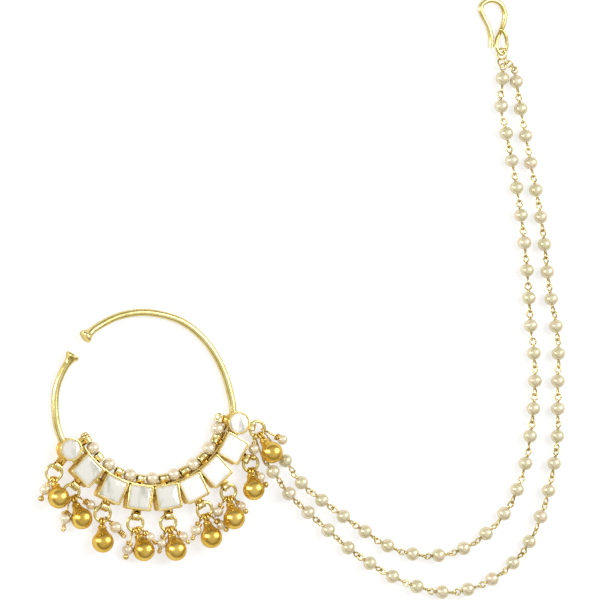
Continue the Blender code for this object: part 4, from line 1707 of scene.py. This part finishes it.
@dataclass
class Strands:
    """Two strands of pearls, each pearl on its own wire with an eye at both ends."""

    pearl: float = 3.2 * MM
    pitch: float = 6.37 * MM
    wire: float = 0.38 * MM
    stem: float = 0.14 * MM
    slack: float = 0.04 * MM
    eye_steps: int = 20
    eye_sweep: float = 0.96
    eye_sink: float = 0.15 * MM
    squash: tuple = (0.78, 0.98)
    first_roll: tuple = (0.2, 0.6)
    roll_spread: float = 0.25
    roll_drift: tuple = (-0.2, 0.3)
    end_gap: float = 0.17
    wrap_wire: float = 0.7
    wrap_sides: int = 6
    wrap_reach: float = 0.62
    wrap_start: float = 1.4
    wrap_end: float = 0.3
    wrap_turns: float = 1.2
    wrap_steps: int = 10
    ring_overlap: float = 0.35
    ring_sweep: float = 0.98
    ring_pitch: float = 1.25 * MM
    ring_turns: tuple = (15, 70)
    link_half: float = 0.52 * MM
    link_steps: int = 8
    routes: tuple = (
        Route(
            "inner", -36, -106, 21,
            (
                (85.6, 74.1), (85.3, 67.9), (87.9, 55.2), (90.1, 43.0), (91.6, 30.6),
                (92.5, 17.7), (93.6, 6.0), (92.6, -7.1), (89.8, -19.3), (83.5, -29.1),
                (73.0, -35.2), (60.5, -34.6), (48.5, -27.8), (37.0, -19.3), (32.6, -13.8),
            ),
            (30.4, -11.2, 0.55),
        ),
        Route(
            "outer", -86, -54, 34,
            (
                (89.0, 73.4), (90.1, 67.0), (92.6, 54.3), (95.3, 40.5), (97.0, 26.7), (99.2, 13.8),
                (99.2, 2.5), (99.0, -9.7), (96.6, -22.1), (91.9, -33.2), (83.7, -40.9), (72.5, -44.2),
                (60.8, -41.4), (49.5, -35.0), (39.7, -26.9), (34.8, -22.8), (29.6, -16.3),
            ),
            (27.6, -12.2, 0.55),
        ),
    )

    def build(self, finishes: Finishes, beads: Beads, hook: "HairHook") -> None:
        """Builds and dresses both strands.

        Args:
            finishes: the finishes of the jewel.
            beads: the maker of pearls.
            hook: the hair hook, whose ring carries them.
        """
        for route in self.routes:
            node = f"chain_strand_{route.name}"
            places = self.places(route)
            pearls = beads.string(f"strand_pearls_{route.name}", places, self.pearl, route.seed)
            finishes.dress(pearls, finishes.pearl, [node])
            finishes.dress(self.links(route, places, hook), finishes.link, [node])

    def places(self, route: Route) -> list:
        """Sets the pearls of a strand at even steps along its route.

        Args:
            route: the strand's route.

        Returns:
            Pairs of a pearl's middle and its wire's direction.
        """
        height = self.pearl / 2 + LAYOUT.floor_gap
        line = smooth_line([Vector((x * MM, y * MM, height)) for x, y in route.points])
        length = line_length(line)
        count = round(length / self.pitch)
        middles = [walk(line, length * number / count)[0] for number in range(count + 1)]
        places = []
        for number, middle in enumerate(middles):
            before = middles[max(0, number - 1)]
            after = middles[min(count, number + 1)]
            places.append((middle, (after - before).normalized()))
        return places

    def eye(self, place: Matrix, far: float, draws: random.Random) -> list:
        """Bends the two lengths of wire of one eye: its loop and its wrap.

        Args:
            place: frame of the pearl, with Z towards the eye and X in the eye's plane.
            far: distance from the pearl's middle to the eye's far side.
            draws: random draws for its small differences.

        Returns:
            Two lists of points.
        """
        near = self.pearl / 2 + self.stem
        radius = (far - near - self.wire) / 2
        centre = near + self.wire / 2 + radius
        squash = draws.uniform(*self.squash)
        loop = [UP * (self.pearl / 2 - self.eye_sink)]
        for point in circle_points(radius, self.eye_steps, TURN * self.eye_sweep, -QUARTER):
            loop.append(Vector((point.x * squash, 0, centre + point.z)))
        low = near - self.stem * self.wrap_start
        high = near + self.wire * self.wrap_end
        wrap = coil_points(self.wire * self.wrap_reach, low, high, self.wrap_turns, self.wrap_steps)
        return [through(place, loop), through(place, wrap)]

    def links(self, route: Route, places: list, hook: "HairHook") -> Thing:
        """Bends all eyes of a strand and the links at its two ends.

        Args:
            route: the strand's route.
            places: middle and wire direction of each pearl.
            hook: the hair hook.

        Returns:
            The links as one piece.
        """
        draws = random.Random(route.seed)
        loops = []
        wraps = []
        roll = draws.uniform(*self.first_roll)
        for number, (middle, along) in enumerate(places):
            for sign in (-1, 1):
                other = number + sign
                inside = 0 <= other < len(places)
                gap = (places[other][0] - middle).length if inside else self.pitch
                spread = draws.uniform(-self.roll_spread, self.roll_spread)
                turn = roll + (QUARTER if sign < 0 else 0.0) + spread
                place = frame_along(middle, along * sign, UP) @ Matrix.Rotation(turn * sign, 4, "Z")
                loop, wrap = self.eye(place, gap / 2 + self.wire + self.slack / 2, draws)
                loops.append(loop)
                wraps.append(wrap)
            roll += draws.uniform(*self.roll_drift)
        first, last = places[0], places[-1]
        start = self.pearl / 2 + self.stem + self.pitch * self.end_gap
        loops += self.ring_row(hook.ring_seat(route.hook_seat), first[0] - first[1] * start)
        jump_seat = LAYOUT.ring_seat(LAYOUT.settings[-1], route.jump_seat)
        bar = self.long_link([jump_seat, Vector(route.dip) * MM, last[0] + last[1] * start])
        name = f"strand_links_{route.name}"
        eyes = bent_wire(name, loops, self.wire)
        wound = bent_wire(f"strand_wraps_{route.name}", wraps, self.wire * self.wrap_wire, self.wrap_sides)
        end = bent_wire(f"strand_ends_{route.name}", [bar], self.wire, closed=True)
        return joined(name, [eyes, wound, end])

    def ring_row(self, start: Vector, end: Vector) -> list:
        """Hangs small rings in each other between two points, every second one flat.

        Args:
            start: where the row starts.
            end: where it ends.

        Returns:
            One list of points for each ring.
        """
        row = []
        count = max(1, round((end - start).length / self.ring_pitch))
        pitch = (end - start).length / count
        radius = pitch / 2 + self.wire * self.ring_overlap
        for number in range(count):
            middle = start + (end - start) * ((number + 0.5) / count)
            turn = Matrix.Rotation(math.radians(self.ring_turns[number % 2]), 4, "Z")
            place = frame_along(middle, end - start, start.cross(UP)) @ turn
            row.append(through(place, circle_points(radius, self.eye_steps, TURN * self.ring_sweep)))
        return row

    def long_link(self, middles: list) -> list:
        """Bends a long closed link whose wire runs down both sides of a line.

        Args:
            middles: points of the line that the link follows.

        Returns:
            The points of the closed wire.
        """
        line = smooth_line(middles, self.link_steps)
        length = line_length(line)
        sides = {1: [], -1: []}
        for i in range(self.link_steps + 1):
            point, along = walk(line, length * i / self.link_steps)
            across = along.cross(UP).normalized()
            for sign, side in sides.items():
                side.append(point + across * self.link_half * sign)
        rounds = []
        for point, inward in ((line[-1], line[-1] - line[-2]), (line[0], line[0] - line[1])):
            rounds.append(point + inward.normalized() * self.link_half)
        return [*sides[1], rounds[0], *reversed(sides[-1]), rounds[1]]


# Hair hook


@dataclass
class HairHook:
    """Hair hook of one bent wire, with the small ring that carries both strands."""

    place: tuple = (85.5 * MM, 79.7 * MM)
    length: float = 12.5 * MM
    wire: float = 1.0 * MM
    sides: int = 14
    samples: int = 8
    plating: float = 1.22
    eye_lift: float = 0.8 * MM
    ring_width: float = 3.0 * MM
    ring_wire: float = 0.44 * MM
    ring_tilt: float = 55.0
    ring_cut: tuple = (0.985, math.radians(200))
    ring_detail: tuple = (36, 10)
    shape: tuple = (
        (-0.184, 0.125, 0.0, 1.0), (-0.19, 0.312, 0.0, 1.0), (-0.248, 0.52, 0.0, 1.0),
        (-0.336, 0.68, 0.0, 1.0), (-0.392, 0.816, 0.0, 1.0), (-0.352, 0.93, 0.0, 1.0),
        (-0.188, 1.0, 0.0, 1.0), (-0.008, 0.936, 0.0, 1.0), (0.08, 0.76, 0.0, 1.0),
        (0.064, 0.58, 0.0, 0.95), (0.0, 0.42, 0.1, 0.8), (-0.09, 0.26, 0.6, 0.7),
        (-0.096, 0.11, 1.0, 0.7), (0.0, 0.0, 1.0, 0.7), (0.092, 0.11, 1.1, 0.7),
        (0.09, 0.24, 1.35, 0.7), (0.058, 0.35, 1.65, 0.7), (0.0, 0.44, 1.75, 0.66),
        (-0.03, 0.47, 1.2, 0.6),
    )

    def foot(self) -> Vector:
        """Returns the middle of the wire at the foot of the eye."""
        return Vector((*self.place, self.wire / 2 + LAYOUT.floor_gap + self.eye_lift))

    def ring_radius(self) -> float:
        """Returns the radius of the ring's middle line."""
        return (self.ring_width - self.ring_wire) / 2

    def ring_seat(self, degrees: float) -> Vector:
        """Returns the point on the hook ring's wire at an angle round it."""
        return self.ring_frame() @ (direction(degrees) * self.ring_radius())

    def ring_frame(self) -> Matrix:
        """Returns the matrix of the ring in the hook's eye."""
        return Matrix.Translation(self.foot()) @ Matrix.Rotation(-math.radians(self.ring_tilt), 4, "Y")

    def build(self, finishes: Finishes) -> None:
        """Builds and dresses the hook and its ring.

        Args:
            finishes: the finishes of the jewel.
        """
        foot = self.foot()
        knots = []
        for across, along, lift, width in self.shape:
            height = self.wire * self.plating * width / 2 + LAYOUT.floor_gap
            height = max(height, self.wire / 2 + LAYOUT.floor_gap + self.eye_lift * lift)
            knots.append(Vector((foot.x + self.length * across, foot.y + self.length * along, height)))
        points = smooth_line(knots, self.samples)
        shares = smooth_line([Vector((width, 0, 0)) for *_, width in self.shape], self.samples)
        widths = [share.x for share in shares]
        hook = bent_wire("hook_wire", [points], self.wire * self.plating, self.sides, widths=widths)
        finishes.dress(hook, finishes.hoop, ["hair_hook"])
        size = (self.ring_radius(), self.ring_wire)
        ring = open_ring("hook_ring_wire", self.ring_frame(), *size, self.ring_cut, self.ring_detail)
        finishes.dress(ring, finishes.hoop, ["hook_ring"])


# Studio


@dataclass
class Studio:
    """White paper, soft lights and the camera above the jewel, tilted to its left side."""

    tilt: float = 19.3
    distance: float = 3.0
    view_width: float = 0.1376
    sensor: float = 36.0
    clip: tuple = (0.01, 20.0)
    target: tuple = (-0.0004, -0.0005, 0.0)
    floor_size: float = 4.0
    floor_height: float = -0.00003
    lamps: tuple = (
        ("right_window", (0.48, 0.22, 0.52), (0.44, 0.66), 3.8),
        ("left_strip", (-0.64, 0.1, 0.22), (0.12, 0.6), 3.0),
    )
    sky_strength: float = 0.88
    sky_tones: tuple = (
        (0.0, (0.24, 0.19, 0.11)),
        (0.35, (0.42, 0.36, 0.26)),
        (0.66, (0.8, 0.78, 0.73)),
        (1.0, (0.93, 0.93, 0.93)),
    )

    def build(self, finishes: Finishes) -> None:
        """Sets up the floor, the lights and the camera.

        Args:
            finishes: the finishes of the jewel.
        """
        clear_choice()
        bpy.ops.mesh.primitive_plane_add(size=self.floor_size, location=(0, 0, self.floor_height))
        floor = bpy.context.object
        floor.name = "paper_floor"
        floor.data.materials.append(finishes.material(finishes.paper))
        self.sky()
        for lamp in self.lamps:
            self.panel(*lamp)
        bpy.context.scene.view_settings.view_transform = "Standard"
        self.camera()

    def sky(self) -> None:
        """Paints the room: bright above, darker near the horizon."""
        world = bpy.data.worlds.new("soft_room")
        bpy.context.scene.world = world
        world.use_nodes = True
        tree = world.node_tree
        place = tree.nodes.new("ShaderNodeTexCoord")
        split = tree.nodes.new("ShaderNodeSeparateXYZ")
        ramp = tree.nodes.new("ShaderNodeValToRGB")
        fill_ramp(ramp, self.sky_tones)
        tree.links.new(place.outputs["Generated"], split.inputs["Vector"])
        tree.links.new(split.outputs["Z"], ramp.inputs["Fac"])
        tree.links.new(ramp.outputs["Color"], tree.nodes["Background"].inputs["Color"])
        tree.nodes["Background"].inputs["Strength"].default_value = self.sky_strength

    def panel(self, name: str, place: tuple, size: tuple, power: float) -> None:
        """Hangs a rectangular soft light that faces the jewel.

        Args:
            name: name of the light.
            place: where it hangs.
            size: its width and height.
            power: its power in watts.
        """
        light = bpy.data.lights.new(name, "AREA")
        light.shape = "RECTANGLE"
        light.size, light.size_y = size
        light.energy = power
        lamp = bpy.data.objects.new(name, light)
        bpy.context.collection.objects.link(lamp)
        lamp.location = place
        lamp.rotation_euler = (Vector(self.target) - Vector(place)).to_track_quat("-Z", "Y").to_euler()

    def camera(self) -> None:
        """Sets the camera at the photograph's angle."""
        data = bpy.data.cameras.new("photo_camera")
        data.sensor_width = self.sensor
        data.lens = self.sensor * self.distance / self.view_width
        data.clip_start, data.clip_end = self.clip
        eye = bpy.data.objects.new("photo_camera", data)
        bpy.context.collection.objects.link(eye)
        angle = math.radians(self.tilt)
        back = Vector((-math.sin(angle), 0, math.cos(angle)))
        right = Vector((math.cos(angle), 0, math.sin(angle)))
        turn = Matrix((right, back.cross(right), back)).transposed().to_4x4()
        eye.matrix_world = Matrix.Translation(Vector(self.target) + back * self.distance) @ turn
        bpy.context.scene.camera = eye


def main() -> None:
    """Builds every sub-assembly in order."""
    logging.basicConfig(level=logging.INFO, format="%(message)s")
    finishes = Finishes()
    beads = Beads()
    hook = HairHook()
    Studio().build(finishes)
    Hoop().build(finishes)
    SettingRow().build(finishes)
    StoneRow().build(finishes)
    InnerString().build(finishes, beads)
    JumpRings().build(finishes)
    Bells().build(finishes)
    Drops().build(finishes, beads)
    hook.build(finishes)
    Strands().build(finishes, beads, hook)


if __name__ == "__main__":
    main()
